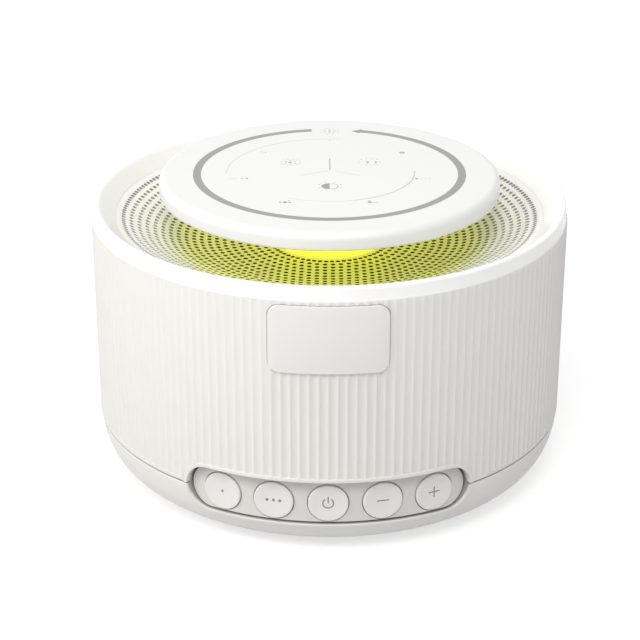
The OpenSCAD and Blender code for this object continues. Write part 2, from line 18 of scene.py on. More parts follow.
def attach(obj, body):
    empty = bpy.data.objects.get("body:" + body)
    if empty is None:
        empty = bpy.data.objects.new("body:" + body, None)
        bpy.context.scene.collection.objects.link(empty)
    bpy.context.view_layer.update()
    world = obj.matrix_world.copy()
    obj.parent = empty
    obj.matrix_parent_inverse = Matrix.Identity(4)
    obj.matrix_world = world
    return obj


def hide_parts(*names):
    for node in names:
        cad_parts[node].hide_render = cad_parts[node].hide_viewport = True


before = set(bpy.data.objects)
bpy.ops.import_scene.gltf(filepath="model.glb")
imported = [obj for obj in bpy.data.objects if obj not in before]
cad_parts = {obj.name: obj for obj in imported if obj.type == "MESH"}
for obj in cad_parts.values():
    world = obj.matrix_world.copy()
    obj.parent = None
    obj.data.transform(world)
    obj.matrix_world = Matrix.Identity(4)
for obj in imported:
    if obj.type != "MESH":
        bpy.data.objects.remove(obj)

MM = 0.001  # metres in a millimetre
FOOT = 1.2  # how far the feet lift the base
PART_Z = 15.15  # height at which the housing meets the base
GROOVE_R = 63.6  # floor of the groove between them
BODY_STEPS = 340  # facets round the body, two to a flute
FINE_STEPS = 170  # facets round the dish and the light tube
GRAIN = 2600.0  # the moulded grain, in waves per metre
CLOUD = (45.0, 3.0)  # waves per metre and detail of the slow drift in a plastic's colour
LIGHT_STRETCH = 1.27  # how much sooner the hub's light fades to the sides
SHADE_FOOT = (9.3, 9.6)  # heights above the ground between which the recess's shade sets in
SHADE_HEAD = (26.0, 24.5)  # the same at its upper end
RGB = tuple[float, float, float]
SHELL_TINT: RGB = (0.765, 0.750, 0.722)
SHELL_SHADE: RGB = (0.38, 0.373, 0.357)
Spot = tuple[float, float]
Outline = Sequence[Spot]
Piece = bpy.types.Object
Material = bpy.types.Material
log = logging.getLogger("sound_machine")


class Carve(Enum):
    """What one solid does to another."""

    OUT = "DIFFERENCE"
    KEEP = "INTERSECT"
    ADD = "UNION"


class Turn(Enum):
    """The line that an outline is turned about."""

    UPRIGHT = (0, 0, 1)
    OUTWARD = (1, 0, 0)


def spot(x: float, y: float, z: float) -> Vector:
    """Turns millimetres above the underside into a place in the scene."""
    return Vector((x * MM, y * MM, (z + FOOT) * MM))


def round_point(radius: float, degrees: float, z: float) -> Vector:
    """Gives the place at an angle from the front, counted towards the plus button."""
    a = math.radians(degrees - 90)
    return spot(radius * math.cos(a), radius * math.sin(a), z)


def corner(centre: Spot, radius: float, start: float, end: float, steps: int = 6) -> list[Spot]:
    """Gives the points of a rounded corner in an outline.

    Args:
        centre: The middle of the rounding.
        radius: The radius of the rounding.
        start: The angle of the first point, in degrees.
        end: The angle of the last point, in degrees.
        steps: How many straight pieces stand for the arc.

    Returns:
        The points in order.
    """
    turns = [math.radians(start + (end - start) * i / steps) for i in range(steps + 1)]
    return [(centre[0] + radius * math.cos(t), centre[1] + radius * math.sin(t)) for t in turns]


class Bench:
    """The moves that shape a piece by hand."""

    def fresh(self) -> None:
        """Leaves edit mode and puts everything down."""
        if bpy.context.mode != "OBJECT":
            bpy.ops.object.mode_set(mode="OBJECT")
        bpy.ops.object.select_all(action="DESELECT")

    def take(self, *pieces: Piece) -> None:
        """Picks up these pieces and nothing else."""
        self.fresh()
        for piece in pieces:
            piece.select_set(True)
        bpy.context.view_layer.objects.active = pieces[0]

    def open(self, piece: Piece) -> None:
        """Takes a piece into edit mode with all of it selected."""
        self.take(piece)
        bpy.ops.object.mode_set(mode="EDIT")
        bpy.ops.mesh.select_mode(type="VERT")
        bpy.ops.mesh.select_all(action="SELECT")

    def drop(self, piece: Piece) -> None:
        """Throws a tool away once it has done its work."""
        bpy.data.objects.remove(piece, do_unlink=True)

    def seal(self, gap: float = 0.001) -> None:
        """Merges the doubles of the piece in hand and turns its faces outwards.

        Args:
            gap: How close two points are before they become one, in millimetres.
        """
        bpy.ops.mesh.select_all(action="SELECT")
        bpy.ops.mesh.remove_doubles(threshold=gap * MM)
        bpy.ops.mesh.normals_make_consistent(inside=False)
        bpy.ops.object.mode_set(mode="OBJECT")

    def line(self, name: str, points: Sequence[Vector], face: bool = False) -> Piece:
        """Draws a line from point to point.

        Args:
            name: The name of the new piece.
            points: The points in order.
            face: Whether the line is closed and filled.

        Returns:
            The line, with its place in its mesh.
        """
        self.fresh()
        bpy.ops.mesh.primitive_plane_add(size=0.01, location=points[0])
        piece = bpy.context.object
        piece.name = name
        piece.data.name = name
        self.open(piece)
        bpy.ops.mesh.merge(type="CENTER")
        for start, end in zip(points, points[1:]):
            bpy.ops.mesh.extrude_vertices_move(TRANSFORM_OT_translate={"value": end - start})
        if face:
            bpy.ops.mesh.select_all(action="SELECT")
            bpy.ops.mesh.edge_face_add()
        bpy.ops.object.mode_set(mode="OBJECT")
        bpy.ops.object.transform_apply(location=True, rotation=True, scale=True)
        return piece

    def turned(self, name: str, outline: Outline, steps: int = BODY_STEPS,
               about: Turn = Turn.UPRIGHT, height: float = 0.0) -> Piece:
        """Turns an outline into a round piece.

        Args:
            name: The name of the new piece.
            outline: Pairs of distance from the axis and place along it. It closes on itself
                unless it starts on the axis.
            steps: How many facets go round.
            about: The line to turn about.
            height: The height of that line, where it points outwards.

        Returns:
            The round piece, welded.
        """
        if about is Turn.UPRIGHT:
            points = [spot(r, 0, z) for r, z in outline]
        else:
            points = [spot(along, 0, height + r) for r, along in outline]
        if outline[0][0]:
            points.append(points[0])
        piece = self.line(name, points)
        self.open(piece)
        bpy.ops.mesh.spin(steps=steps, angle=math.tau, center=spot(0, 0, height),
                          axis=about.value)
        self.seal()
        return piece

    def ringed(self, piece: Piece, count: int) -> None:
        """Copies a piece round the upright axis.

        Args:
            piece: The piece, which ends up as all the copies together.
            count: How many there are in the end.
        """
        self.open(piece)
        bpy.ops.mesh.spin(steps=count - 1, angle=math.tau * (count - 1) / count, dupli=True,
                          center=(0, 0, 0), axis=(0, 0, 1))
        bpy.ops.object.mode_set(mode="OBJECT")

    def pulled(self, piece: Piece, way: Vector) -> None:
        """Pulls a filled outline out into a solid.

        Args:
            piece: The outline, which becomes the solid.
            way: How far it is pulled, in metres.
        """
        self.open(piece)
        bpy.ops.mesh.extrude_region_move(TRANSFORM_OT_translate={"value": way})
        self.seal(0.0001)

    def set_down(self, piece: Piece, place: Matrix) -> None:
        """Moves a piece and keeps the move in its mesh.

        Args:
            piece: The piece, whose mesh holds its place already.
            place: The move, in metres.
        """
        self.take(piece)
        piece.matrix_world = place
        bpy.ops.object.transform_apply(location=True, rotation=True, scale=True)

    def faced(self, piece: Piece, degrees: float) -> None:
        """Turns a piece that was made along +X to an angle from the front."""
        self.set_down(piece, Matrix.Rotation(math.radians(degrees - 90), 4, "Z"))

    def joined(self, name: str, pieces: Sequence[Piece]) -> Piece:
        """Joins pieces into one and names it.

        Args:
            name: The name of the joined piece.
            pieces: The pieces, one or more.

        Returns:
            The joined piece.
        """
        self.take(*pieces)
        if len(pieces) > 1:
            bpy.ops.object.join()
        piece = bpy.context.view_layer.objects.active
        piece.name = name
        piece.data.name = name
        return piece

    def carve(self, piece: Piece, tool: Piece, how: Carve = Carve.OUT) -> None:
        """Lets one solid cut, keep or add to another, and throws the tool away.

        Args:
            piece: The piece that changes.
            tool: The solid that shapes it. Its material stays on the faces that it leaves.
            how: What the tool does.
        """
        self.take(piece)
        bpy.ops.object.modifier_add(type="BOOLEAN")
        step = piece.modifiers[-1]
        step.operation = how.value
        step.solver = "MANIFOLD"
        step.material_mode = "TRANSFER"
        step.object = tool
        bpy.ops.object.modifier_apply(modifier=step.name)
        self.drop(tool)

    def rod(self, radius: float, start: float, end: float, height: float, degrees: float,
            sides: int = 64) -> Piece:
        """Makes a rod that points out of the body, to carve with.

        Args:
            radius: The rod's radius.
            start: Where it starts, from the axis.
            end: Where it ends.
            height: Its height above the underside.
            degrees: Its angle from the front.
            sides: How many sides it has.

        Returns:
            The rod.
        """
        tool = self.turned("rod", [(0, start), (radius, start), (radius, end), (0, end)],
                           sides, Turn.OUTWARD, height)
        self.faced(tool, degrees)
        return tool

    def pin(self, radius: float, ring: float, degrees: float, low: float, high: float,
            sides: int = 48) -> Piece:
        """Makes an upright pin to carve with.

        Args:
            radius: The pin's radius.
            ring: How far it stands from the axis.
            degrees: Its angle from the front.
            low: The height of its foot.
            high: The height of its head.
            sides: How many sides it has.

        Returns:
            The pin.
        """
        tool = self.turned("pin", [(0, low), (radius, low), (radius, high), (0, high)], sides)
        self.set_down(tool, Matrix.Translation(round_point(ring, degrees, -FOOT)))
        return tool

    def eased(self, piece: Piece, mark: Callable[[Vector], float | None], width: float,
              steps: int = 3) -> int:
        """Rounds the edges whose two ends lie on the same marked line.

        Args:
            piece: The piece to ease.
            mark: Gives the line that a point lies on, or nothing. The point is in
                millimetres above the underside.
            width: How wide the rounding is, in millimetres.
            steps: How many facets it has.

        Returns:
            How many edges were rounded.
        """
        self.open(piece)
        bpy.ops.mesh.select_all(action="DESELECT")
        bpy.ops.object.mode_set(mode="OBJECT")
        lift = Vector((0, 0, FOOT * MM))
        marks = [mark((v.co - lift) / MM) for v in piece.data.vertices]
        chosen = 0
        for edge in piece.data.edges:
            first, last = (marks[i] for i in edge.vertices)
            edge.select = first is not None and first == last
            chosen += edge.select
        bpy.ops.object.mode_set(mode="EDIT")
        bpy.ops.mesh.select_mode(type="EDGE")
        if chosen:
            bpy.ops.mesh.bevel(offset=width * MM, segments=steps, affect="EDGES",
                               clamp_overlap=True)
        bpy.ops.object.mode_set(mode="OBJECT")
        return chosen

    def smoothed(self, piece: Piece, degrees: float = 35) -> None:
        """Shades a piece smooth wherever it turns by less than an angle."""
        self.take(piece)
        bpy.ops.object.shade_smooth_by_angle(angle=math.radians(degrees))


class Flow:
    """A shader socket that joins in sums: each operator adds the node that works it out."""

    def __init__(self, nodes: "Nodes", socket: bpy.types.NodeSocket) -> None:
        """Keeps the socket and the nodes that it belongs to."""
        self.nodes = nodes
        self.socket = socket

    def _sum(self, operation: str, first: "Flow | float", second: "Flow | float") -> "Flow":
        """Adds one Math node."""
        return self.nodes.node("ShaderNodeMath", {"operation": operation}, {0: first, 1: second})

    def __add__(self, other: "Flow | float") -> "Flow":
        """Adds."""
        return self._sum("ADD", self, other)

    __radd__ = __add__

    def __sub__(self, other: "Flow | float") -> "Flow":
        """Takes away."""
        return self._sum("SUBTRACT", self, other)

    def __rsub__(self, other: float) -> "Flow":
        """Takes this from a number."""
        return self._sum("SUBTRACT", other, self)

    def __mul__(self, other: "Flow | float") -> "Flow":
        """Multiplies."""
        return self._sum("MULTIPLY", self, other)

    __rmul__ = __mul__

    def __pow__(self, other: float) -> "Flow":
        """Raises to a power."""
        return self._sum("POWER", self, other)


class Nodes:
    """The shader nodes of a material or of the world, under construction."""

    def __init__(self, tree: bpy.types.NodeTree, end: str) -> None:
        """Empties a tree and gives it its output.

        Args:
            tree: The tree to build in.
            end: The type of its output node.
        """
        self.tree = tree
        self.tree.nodes.clear()
        self.end = self.tree.nodes.new(end)

    def show(self, surface: "Flow") -> None:
        """Links a shader to the output."""
        self.tree.links.new(surface.socket, self.end.inputs[0])

    def node(self, kind: str, settings: dict[str, object] | None = None,
             inputs: dict[int | str, object] | None = None, output: int | str = 0) -> Flow:
        """Adds one node.

        Args:
            kind: The node's type.
            settings: What is set on the node first. A ramp's stops go under "stops".
            inputs: Values or links for its sockets.
            output: The socket to give back.

        Returns:
            The chosen output.
        """
        made = self.tree.nodes.new(kind)
        for key, value in (settings or {}).items():
            if key == "stops":
                ramp = made.color_ramp
                while len(ramp.elements) < len(value):
                    ramp.elements.new(1.0)
                for element, (place, tint) in zip(ramp.elements, value):
                    element.position = place
                    element.color = (*tint, 1.0)
            else:
                setattr(made, key, value)
        for key, value in (inputs or {}).items():
            if isinstance(value, Flow):
                self.tree.links.new(value.socket, made.inputs[key])
            else:
                made.inputs[key].default_value = value
        return Flow(self, made.outputs[output])

    def here(self) -> Flow:
        """Gives the place on the piece."""
        return self.node("ShaderNodeTexCoord", output="Object")

    def noise(self, scale: float, detail: float = 2.0, rough: float = 0.5) -> Flow:
        """Gives an even noise about 0.5, its scale in waves per metre."""
        return self.node("ShaderNodeTexNoise", {},
                         {"Vector": self.here(), "Scale": scale, "Detail": detail,
                          "Roughness": rough})

    def mixed(self, share: Flow | float, first: Flow | RGB, second: Flow | RGB) -> Flow:
        """Mixes two colours.

        Args:
            share: How much of the second colour there is, from 0 to 1.
            first: The first colour.
            second: The second colour.

        Returns:
            The mixed colour.
        """
        paints = {6: first, 7: second}
        full = {k: v if isinstance(v, Flow) else (*v, 1.0) for k, v in paints.items()}
        return self.node("ShaderNodeMix", {"data_type": "RGBA"}, {0: share, **full}, 2)

    def seen(self) -> Flow:
        """Gives 1 for rays from the camera, a mirror or a clear solid."""
        camera, mirror, clear = (self.node("ShaderNodeLightPath", output=f"Is {kind} Ray")
                                 for kind in ("Camera", "Glossy", "Transmission"))
        return self.node("ShaderNodeMath", {"operation": "MINIMUM"},
                         {0: camera + mirror + clear, 1: 1.0})

    def eased(self, value: Flow, start: float, end: float) -> Flow:
        """Gives 0 at the start and 1 at the end, with a soft change between them."""
        return self.node("ShaderNodeMapRange", {"interpolation_type": "SMOOTHSTEP"},
                         {"Value": value, "From Min": start, "From Max": end})


class Recipe(Nodes):
    """One material under construction."""

    def __init__(self, name: str) -> None:
        """Starts an empty material with a Principled shader."""
        self.material = bpy.data.materials.new(name)
        self.material.use_nodes = True
        super().__init__(self.material.node_tree, "ShaderNodeOutputMaterial")
        self.shell = self.tree.nodes.new("ShaderNodeBsdfPrincipled")
        self.show(self.surface())

    def surface(self) -> Flow:
        """Gives the Principled shader's output."""
        return Flow(self, self.shell.outputs[0])

    def clouded(self, tint: RGB) -> Flow:
        """Gives a colour that drifts towards one a little paler."""
        return self.mixed(self.noise(*CLOUD), tint, tuple(c * 1.02 for c in tint))

    def matt(self, level: Flow | float, fine: Flow, spread: float = 0.12) -> Flow:
        """Gives a roughness that a fine noise moves a little to both sides."""
        return level + (fine - 0.5) * spread

    def plastic(self, paint: Flow, level: float, gloss: float, depth: float,
                grain: float = GRAIN) -> Material:
        """Sets the shader up as plastic with a fine grain.

        Args:
            paint: Its colour.
            level: Its roughness.
            gloss: Its specular level.
            depth: The depth of the grain, in millimetres.
            grain: The grain, in waves per metre.

        Returns:
            The material.
        """
        fine = self.noise(grain)
        return self.shine(Base_Color=paint, Roughness=self.matt(level, fine),
                          Specular_IOR_Level=gloss, Normal=self.bump(fine, depth))

    def reach(self, stretch: float = 1.0) -> Flow:
        """Gives the distance from the upright axis, in metres, stretched along X."""
        place = self.here()
        across = self.node("ShaderNodeSeparateXYZ", {}, {0: place}, "X") * stretch
        along = self.node("ShaderNodeSeparateXYZ", {}, {0: place}, "Y")
        return (across * across + along * along) ** 0.5

    def up(self) -> Flow:
        """Gives the height above the ground, in metres."""
        return self.node("ShaderNodeSeparateXYZ", {}, {0: self.here()}, "Z")

    def sunk(self, lean: float, clear: float, deep: float) -> Flow:
        """Gives how deep a place lies in the recess, from 0 at its mouth to 1 at its floor.

        Args:
            lean: How much the outer face widens for each step up.
            clear: The radius at the ground's height from which nothing is shaded, in mm.
            deep: The radius at which the shade is full, in mm.

        Returns:
            The depth, 0 above and below the recess.
        """
        height = self.up()
        depth = self.eased(self.reach() - height * lean, clear * MM, deep * MM)
        for start, end in (SHADE_FOOT, SHADE_HEAD):
            depth = depth * self.eased(height, start * MM, end * MM)
        return depth

    def bump(self, height: Flow, depth: float) -> Flow:
        """Gives a normal that follows a height, its depth in millimetres."""
        return self.node("ShaderNodeBump", {}, {"Height": height, "Distance": depth * MM})

    def shine(self, **sockets: Flow | float | RGB) -> Material:
        """Sets the Principled shader's sockets and gives back the material."""
        for key, value in sockets.items():
            socket = self.shell.inputs[key.replace("_", " ")]
            if isinstance(value, Flow):
                self.tree.links.new(value.socket, socket)
            elif isinstance(value, tuple):
                socket.default_value = (*value, 1.0)
            else:
                socket.default_value = value
        return self.material


@dataclass(frozen=True)
class Moulded:
    """Plastic with a fine moulded grain."""

    name: str
    tint: RGB
    roughness: float = 0.42
    grain: float = GRAIN
    depth: float = 0.012
    mottle: float = 0.02
    gloss: float = 0.5

    def mix(self) -> Material:
        """Builds the material."""
        recipe = Recipe(self.name)
        pale = tuple(min(1.0, c * (1 + self.mottle)) for c in self.tint)
        deep = tuple(c * (1 - self.mottle) for c in self.tint)
        paint = recipe.mixed(recipe.noise(*CLOUD), deep, pale)
        return recipe.plastic(paint, self.roughness, self.gloss, self.depth, self.grain)


@dataclass(frozen=True)
class FlutedShell:
    """The housing's plastic: painted shade a little deeper in its flutes and deep where its walls
    run in behind the recess's floor, and polished on its rim."""

    name: str
    tint: RGB = SHELL_TINT
    # Painted shade: the flutes' valleys are tinted a little darker.
    valley_shade: RGB = (0.758, 0.743, 0.715)
    rim: RGB = (0.97, 0.97, 0.96)
    shade: RGB = SHELL_SHADE
    valley_r: float = 64.62
    crest_r: float = 64.9
    rim_low: float = 71.2
    rim_high: float = 72.0
    clear_r: float = 64.4
    deep_r: float = 62.9
    roughness: float = 0.5
    gloss: float = 0.06
    coat: float = 0.8
    grain_deep: float = 0.014

    def mix(self) -> Material:
        """Builds the material."""
        recipe = Recipe(self.name)
        fine = recipe.noise(GRAIN)
        crest = recipe.eased(recipe.reach(), self.valley_r * MM, self.crest_r * MM)
        rim = recipe.eased(recipe.up(), (self.rim_low + FOOT) * MM, (self.rim_high + FOOT) * MM)
        wall = recipe.mixed(crest, self.valley_shade, recipe.clouded(self.tint))
        skin = recipe.mixed(rim, wall, self.rim)
        # Painted shade, deep where the walls run in behind the recess's floor.
        depth = recipe.sunk(0.0, self.clear_r, self.deep_r)
        return recipe.shine(
            Base_Color=recipe.mixed(depth, skin, self.shade),
            Roughness=recipe.matt(self.roughness - rim * 0.16, fine),
            Specular_IOR_Level=self.gloss,
            Coat_Weight=rim * self.coat,
            Coat_Roughness=0.15,
            Normal=recipe.bump(fine * (1.15 - rim), self.grain_deep))


@dataclass(frozen=True)
class BaseShell:
    """The base's plastic, in deep shade where it runs in behind the recess's floor."""

    name: str
    tint: RGB = SHELL_TINT
    shade: RGB = SHELL_SHADE
    lean: float = 0.22
    clear_r: float = 61.25
    deep_r: float = 60.7
    roughness: float = 0.5
    gloss: float = 0.2
    grain_deep: float = 0.012

    def mix(self) -> Material:
        """Builds the material."""
        recipe = Recipe(self.name)
        depth = recipe.sunk(self.lean, self.clear_r, self.deep_r)
        paint = recipe.mixed(depth, recipe.clouded(self.tint), self.shade)
        return recipe.plastic(paint, self.roughness, self.gloss, self.grain_deep)


@dataclass(frozen=True)
class SunkPanel:
    """The plastic of the recess's floor, with painted shade under the recess's upper lip: darker
    towards its top.
    """

    name: str
    tint: RGB = (0.67, 0.657, 0.632)
    shade: RGB = (0.58, 0.568, 0.545)
    low: float = 17.6
    high: float = 22.4

    def mix(self) -> Material:
        """Builds the material."""
        recipe = Recipe(self.name)
        fine = recipe.noise(GRAIN)
        # Painted shade: darker towards the top, under the upper lip.
        share = recipe.eased(recipe.up(), self.low * MM, self.high * MM)
        return recipe.shine(
            Base_Color=recipe.mixed(share, self.tint, self.shade),
            Roughness=recipe.matt(0.5, fine, 0.1),
            Specular_IOR_Level=0.2,
            Normal=recipe.bump(fine, 0.012))


@dataclass(frozen=True)
class LitDish:
    """White plastic with the hub's light painted on: a yellow colour and glow that fade to plain
    white.
    """

    name: str
    plain: RGB = (0.95, 0.95, 0.93)
    lit: RGB = (0.76, 0.765, 0.32)
    glow: RGB = (0.60, 0.62, 0.085)
    full_r: float = 46.0
    end_r: float = 62.0
    hub_r: float = 12.0
    far_r: float = 60.0
    strength: float = 0.28

    def mix(self) -> Material:
        """Builds the material."""
        recipe = Recipe(self.name)
        reach = recipe.reach(LIGHT_STRETCH)
        # Painted light: the hub's yellow light, laid into the base colour and the emission.
        share = recipe.eased(reach, self.end_r * MM, self.full_r * MM)
        fine = recipe.noise(GRAIN)
        near = recipe.eased(reach, self.far_r * MM, self.hub_r * MM)
        bright = share * (0.86 + 0.05 * near)
        return recipe.shine(
            Base_Color=recipe.mixed(share, self.plain, self.lit),
            Roughness=recipe.matt(0.45, fine, 0.1),
            Emission_Color=recipe.mixed(bright, (0.0, 0.0, 0.0), self.glow),
            Emission_Strength=self.strength,
            Normal=recipe.bump(fine, 0.01))


@dataclass(frozen=True)
class HoleWall:
    """The walls of the holes, with painted shade: dark yellow where the hub's light is full, grey
    outside.
    """

    name: str
    tint: RGB = (0.13, 0.13, 0.03)
    pale: RGB = (0.58, 0.58, 0.56)
    full_r: float = 44.0
    end_r: float = 62.0

    def mix(self) -> Material:
        """Builds the material."""
        recipe = Recipe(self.name)
        # Painted shade on the holes' walls, yellowish near the hub.
        share = recipe.eased(recipe.reach(LIGHT_STRETCH), self.end_r * MM, self.full_r * MM)
        return recipe.shine(
            Base_Color=recipe.mixed(share, self.pale, self.tint),
            Roughness=0.6)


@dataclass(frozen=True)
class Lamp:
    """Frosted plastic with light behind it."""

    name: str
    tint: RGB
    glow: RGB
    strength: float

    def mix(self) -> Material:
        """Builds the material."""
        recipe = Recipe(self.name)
        cloud = recipe.noise(180.0)
        dim = tuple(c * 0.92 for c in self.glow)
        return recipe.shine(
            Base_Color=self.tint,
            Roughness=0.35,
            Emission_Color=recipe.mixed(cloud, dim, self.glow),
            Emission_Strength=self.strength)


@dataclass(frozen=True)
class Metal:
    """Plated or bare metal with fine marks."""

    name: str
    tint: RGB
    roughness: float = 0.3

    def mix(self) -> Material:
        """Builds the material."""
        recipe = Recipe(self.name)
        marks = recipe.noise(900.0, 4.0, 0.6)
        dull = tuple(c * 0.8 for c in self.tint)
        return recipe.shine(
            Base_Color=recipe.mixed(marks, dull, self.tint),
            Metallic=1.0,
            Roughness=recipe.matt(self.roughness, marks, 0.25),
            Normal=recipe.bump(marks, 0.006))


@dataclass(frozen=True)
class Circuit:
    """Solder mask with the ghost of copper tracks beneath it."""

    name: str
    tint: RGB
    track: RGB

    def mix(self) -> Material:
        """Builds the material."""
        recipe = Recipe(self.name)
        cells = recipe.node("ShaderNodeTexVoronoi", {"distance": "MANHATTAN"},
                            {"Vector": recipe.here(), "Scale": 420.0}, "Distance")
        tracks = recipe.eased(cells, 0.42, 0.5)
        return recipe.shine(
            Base_Color=recipe.mixed(tracks, self.tint, self.track),
            Roughness=0.35 + tracks * 0.1,
            Normal=recipe.bump(tracks, 0.02))


Plastic = Moulded | FlutedShell | BaseShell | SunkPanel | LitDish | HoleWall
Finish = Plastic | Lamp | Metal | Circuit

SHELL = BaseShell("shell_plastic")
WALL = FlutedShell("fluted_plastic")
PANEL = SunkPanel("panel_plastic")
PLATE = Moulded("plate_plastic", (0.80, 0.785, 0.765), 0.34, 3200.0, 0.006, 0.012)
BUTTON = Moulded("button_plastic", (0.745, 0.735, 0.71), 0.38, 3000.0, 0.008, 0.012)
# Painted shade: a dark grey for the walls of the buttons' holes, so that the gaps round the buttons
# show dark.
GAP_SHADE = Moulded("gap_shade", (0.16, 0.155, 0.15), 0.7, 3000.0, 0.004, 0.02, 0.1)
DIAL = Moulded("dial_plastic", (0.86, 0.86, 0.853), 0.30, 3000.0, 0.004, 0.01)
INK = Moulded("print_grey", (0.335, 0.335, 0.33), 0.5, 4000.0, 0.001, 0.03)
SOFT = Moulded("print_soft", (0.50, 0.495, 0.48), 0.5, 4000.0, 0.001, 0.03)
FAINT = Moulded("print_pale", (0.68, 0.675, 0.66), 0.5, 4000.0, 0.001, 0.03)
DARK_INK = Moulded("button_print", (0.27, 0.26, 0.25), 0.5, 4000.0, 0.001, 0.03)
DISH = LitDish("dish_plastic")
HOLES = HoleWall("hole_walls")
LIGHT = Lamp("light_tube_frosted", (0.9, 0.88, 0.1), (0.96, 0.95, 0.08), 0.8)
CHIPS = Lamp("light_chips", (0.9, 0.88, 0.2), (1.0, 0.96, 0.05), 1.6)
BLACK = Moulded("black_plastic", (0.03, 0.03, 0.032), 0.5, 1500.0, 0.02, 0.1)
FRAME_PAINT = Moulded("speaker_paint", (0.035, 0.035, 0.037), 0.35, 900.0, 0.03, 0.1)
PULP = Moulded("cone_pulp", (0.05, 0.05, 0.052), 0.8, 700.0, 0.08, 0.2, 0.2)
RUBBER = Moulded("surround_rubber", (0.025, 0.025, 0.026), 0.75, 1200.0, 0.02, 0.1, 0.3)
FOOT_RUBBER = Moulded("foot_rubber", (0.20, 0.20, 0.205), 0.85, 900.0, 0.03, 0.08, 0.25)
STEEL = Metal("zinc_steel", (0.62, 0.62, 0.64))
MAGNET = Metal("magnet_ferrite", (0.13, 0.13, 0.14), 0.6)
GREEN = Circuit("green_board", (0.02, 0.13, 0.06), (0.04, 0.22, 0.10))
WHITE = Circuit("white_board", (0.80, 0.80, 0.78), (0.72, 0.72, 0.70))


class Shelf:
    """The finishes that are mixed once and used by every piece."""

    def __init__(self) -> None:
        """Starts with nothing mixed."""
        self.mixed: dict[str, Material] = {}

    def get(self, finish: Finish) -> Material:
        """Gives a finish's material, mixed the first time it is asked for."""
        if finish.name not in self.mixed:
            self.mixed[finish.name] = finish.mix()
        return self.mixed[finish.name]

    def dress(self, piece: Piece, finish: Finish) -> None:
        """Gives a piece one finish all over."""
        piece.data.materials.clear()
        piece.data.materials.append(self.get(finish))


@dataclass
class Part:
    """A sub-assembly, with the bench that shapes it and the shelf of its finishes."""

    bench: Bench
    shelf: Shelf


@dataclass
class Recess:
    """The wrapped recess that holds the buttons, as an outline with round ends."""

    bench: Bench
    height: float = PART_Z
    end_r: float = 6.6
    half: float = 28.8
    wall_r: float = 65.0
    lip_w: float = 0.85
    lip_h: float = 0.3
    lip_round: float = 0.24
    inside_r: float = 56.0
    outside_r: float = 72.0
    weld: float = 0.008

    def band(self, name: str, grow: float, inner: float, outer: float) -> Piece:
        """Makes a solid band with round ends, wrapped round the axis.

        Args:
            name: The name of the new piece.
            grow: How far its edge lies outside the recess's.
            inner: The radius of its inner face.
            outer: The radius of its outer face.

        Returns:
            The band.
        """
        end_r = self.end_r + grow
        pitch = 360 / BODY_STEPS
        turns = [math.radians(a) for a in range(0, 90, 9)]
        ends = [(self.half + math.degrees(math.asin(end_r * math.cos(t) / self.wall_r)),
                 end_r * math.sin(t)) for t in turns]
        count = int(self.half / pitch)
        flats = [(self.half, end_r)] + [(pitch * i, end_r) for i in range(count, 0, -1)]
        right = ends + flats
        upper = right + [(0.0, end_r)] + [(-a, h) for a, h in reversed(right)]
        band = self.bench.line(name, [round_point(outer, a, self.height + h) for a, h in upper])
        share = inner / outer
        for value, middle in (((1, 1, -1), spot(0, 0, self.height)),
                              ((share, share, 1), Vector((0, 0, 0)))):
            self.bench.open(band)
            bpy.ops.mesh.extrude_region_move()
            bpy.ops.transform.resize(value=value, center_override=middle)
            self.bench.seal()
        return band

    def lip(self, shell: Piece, piece: Piece) -> None:
        """Gives a piece its share of the raised lip, cut from a thick shell round it.

        Args:
            shell: A ring that stands proud of the piece by the lip's height.
            piece: The piece that gets the lip.
        """
        edge = self.band("edge", self.lip_w, self.inside_r, self.outside_r)
        self.bench.carve(shell, edge, Carve.KEEP)
        self.bench.carve(piece, shell, Carve.ADD)
        self.bench.carve(piece, self.band("slot", 0.0, self.inside_r, self.outside_r))

    def off_edge(self, point: Vector) -> float:
        """Gives how far a point lies from the recess's edge, along the wall."""
        turn = math.atan2(point.x, -point.y)
        side = max(0.0, abs(turn) - math.radians(self.half)) * self.wall_r
        rise = point.z - self.height
        return math.hypot(side, rise) - self.end_r

    def soften(self, piece: Piece, surface: Callable[[float], float]) -> None:
        """Welds a carved piece and rounds both edges of its share of the raised lip.

        Args:
            piece: The piece that has the lip.
            surface: The radius of its wall at a height.
        """
        def mark(point: Vector) -> float | None:
            """Gives the lip's edge that a point lies on, or nothing."""
            proud = point.xy.length - surface(point.z)
            if point.y > 0 or proud < 0.5 * self.lip_h:
                return None
            off = self.off_edge(point)
            return next((w for w in (0.0, self.lip_w) if abs(off - w) < 0.06), None)

        self.bench.open(piece)
        self.bench.seal(self.weld)
        count = self.bench.eased(piece, mark, self.lip_round)
        log.info("%s: %d mouth edges eased", piece.name, count)


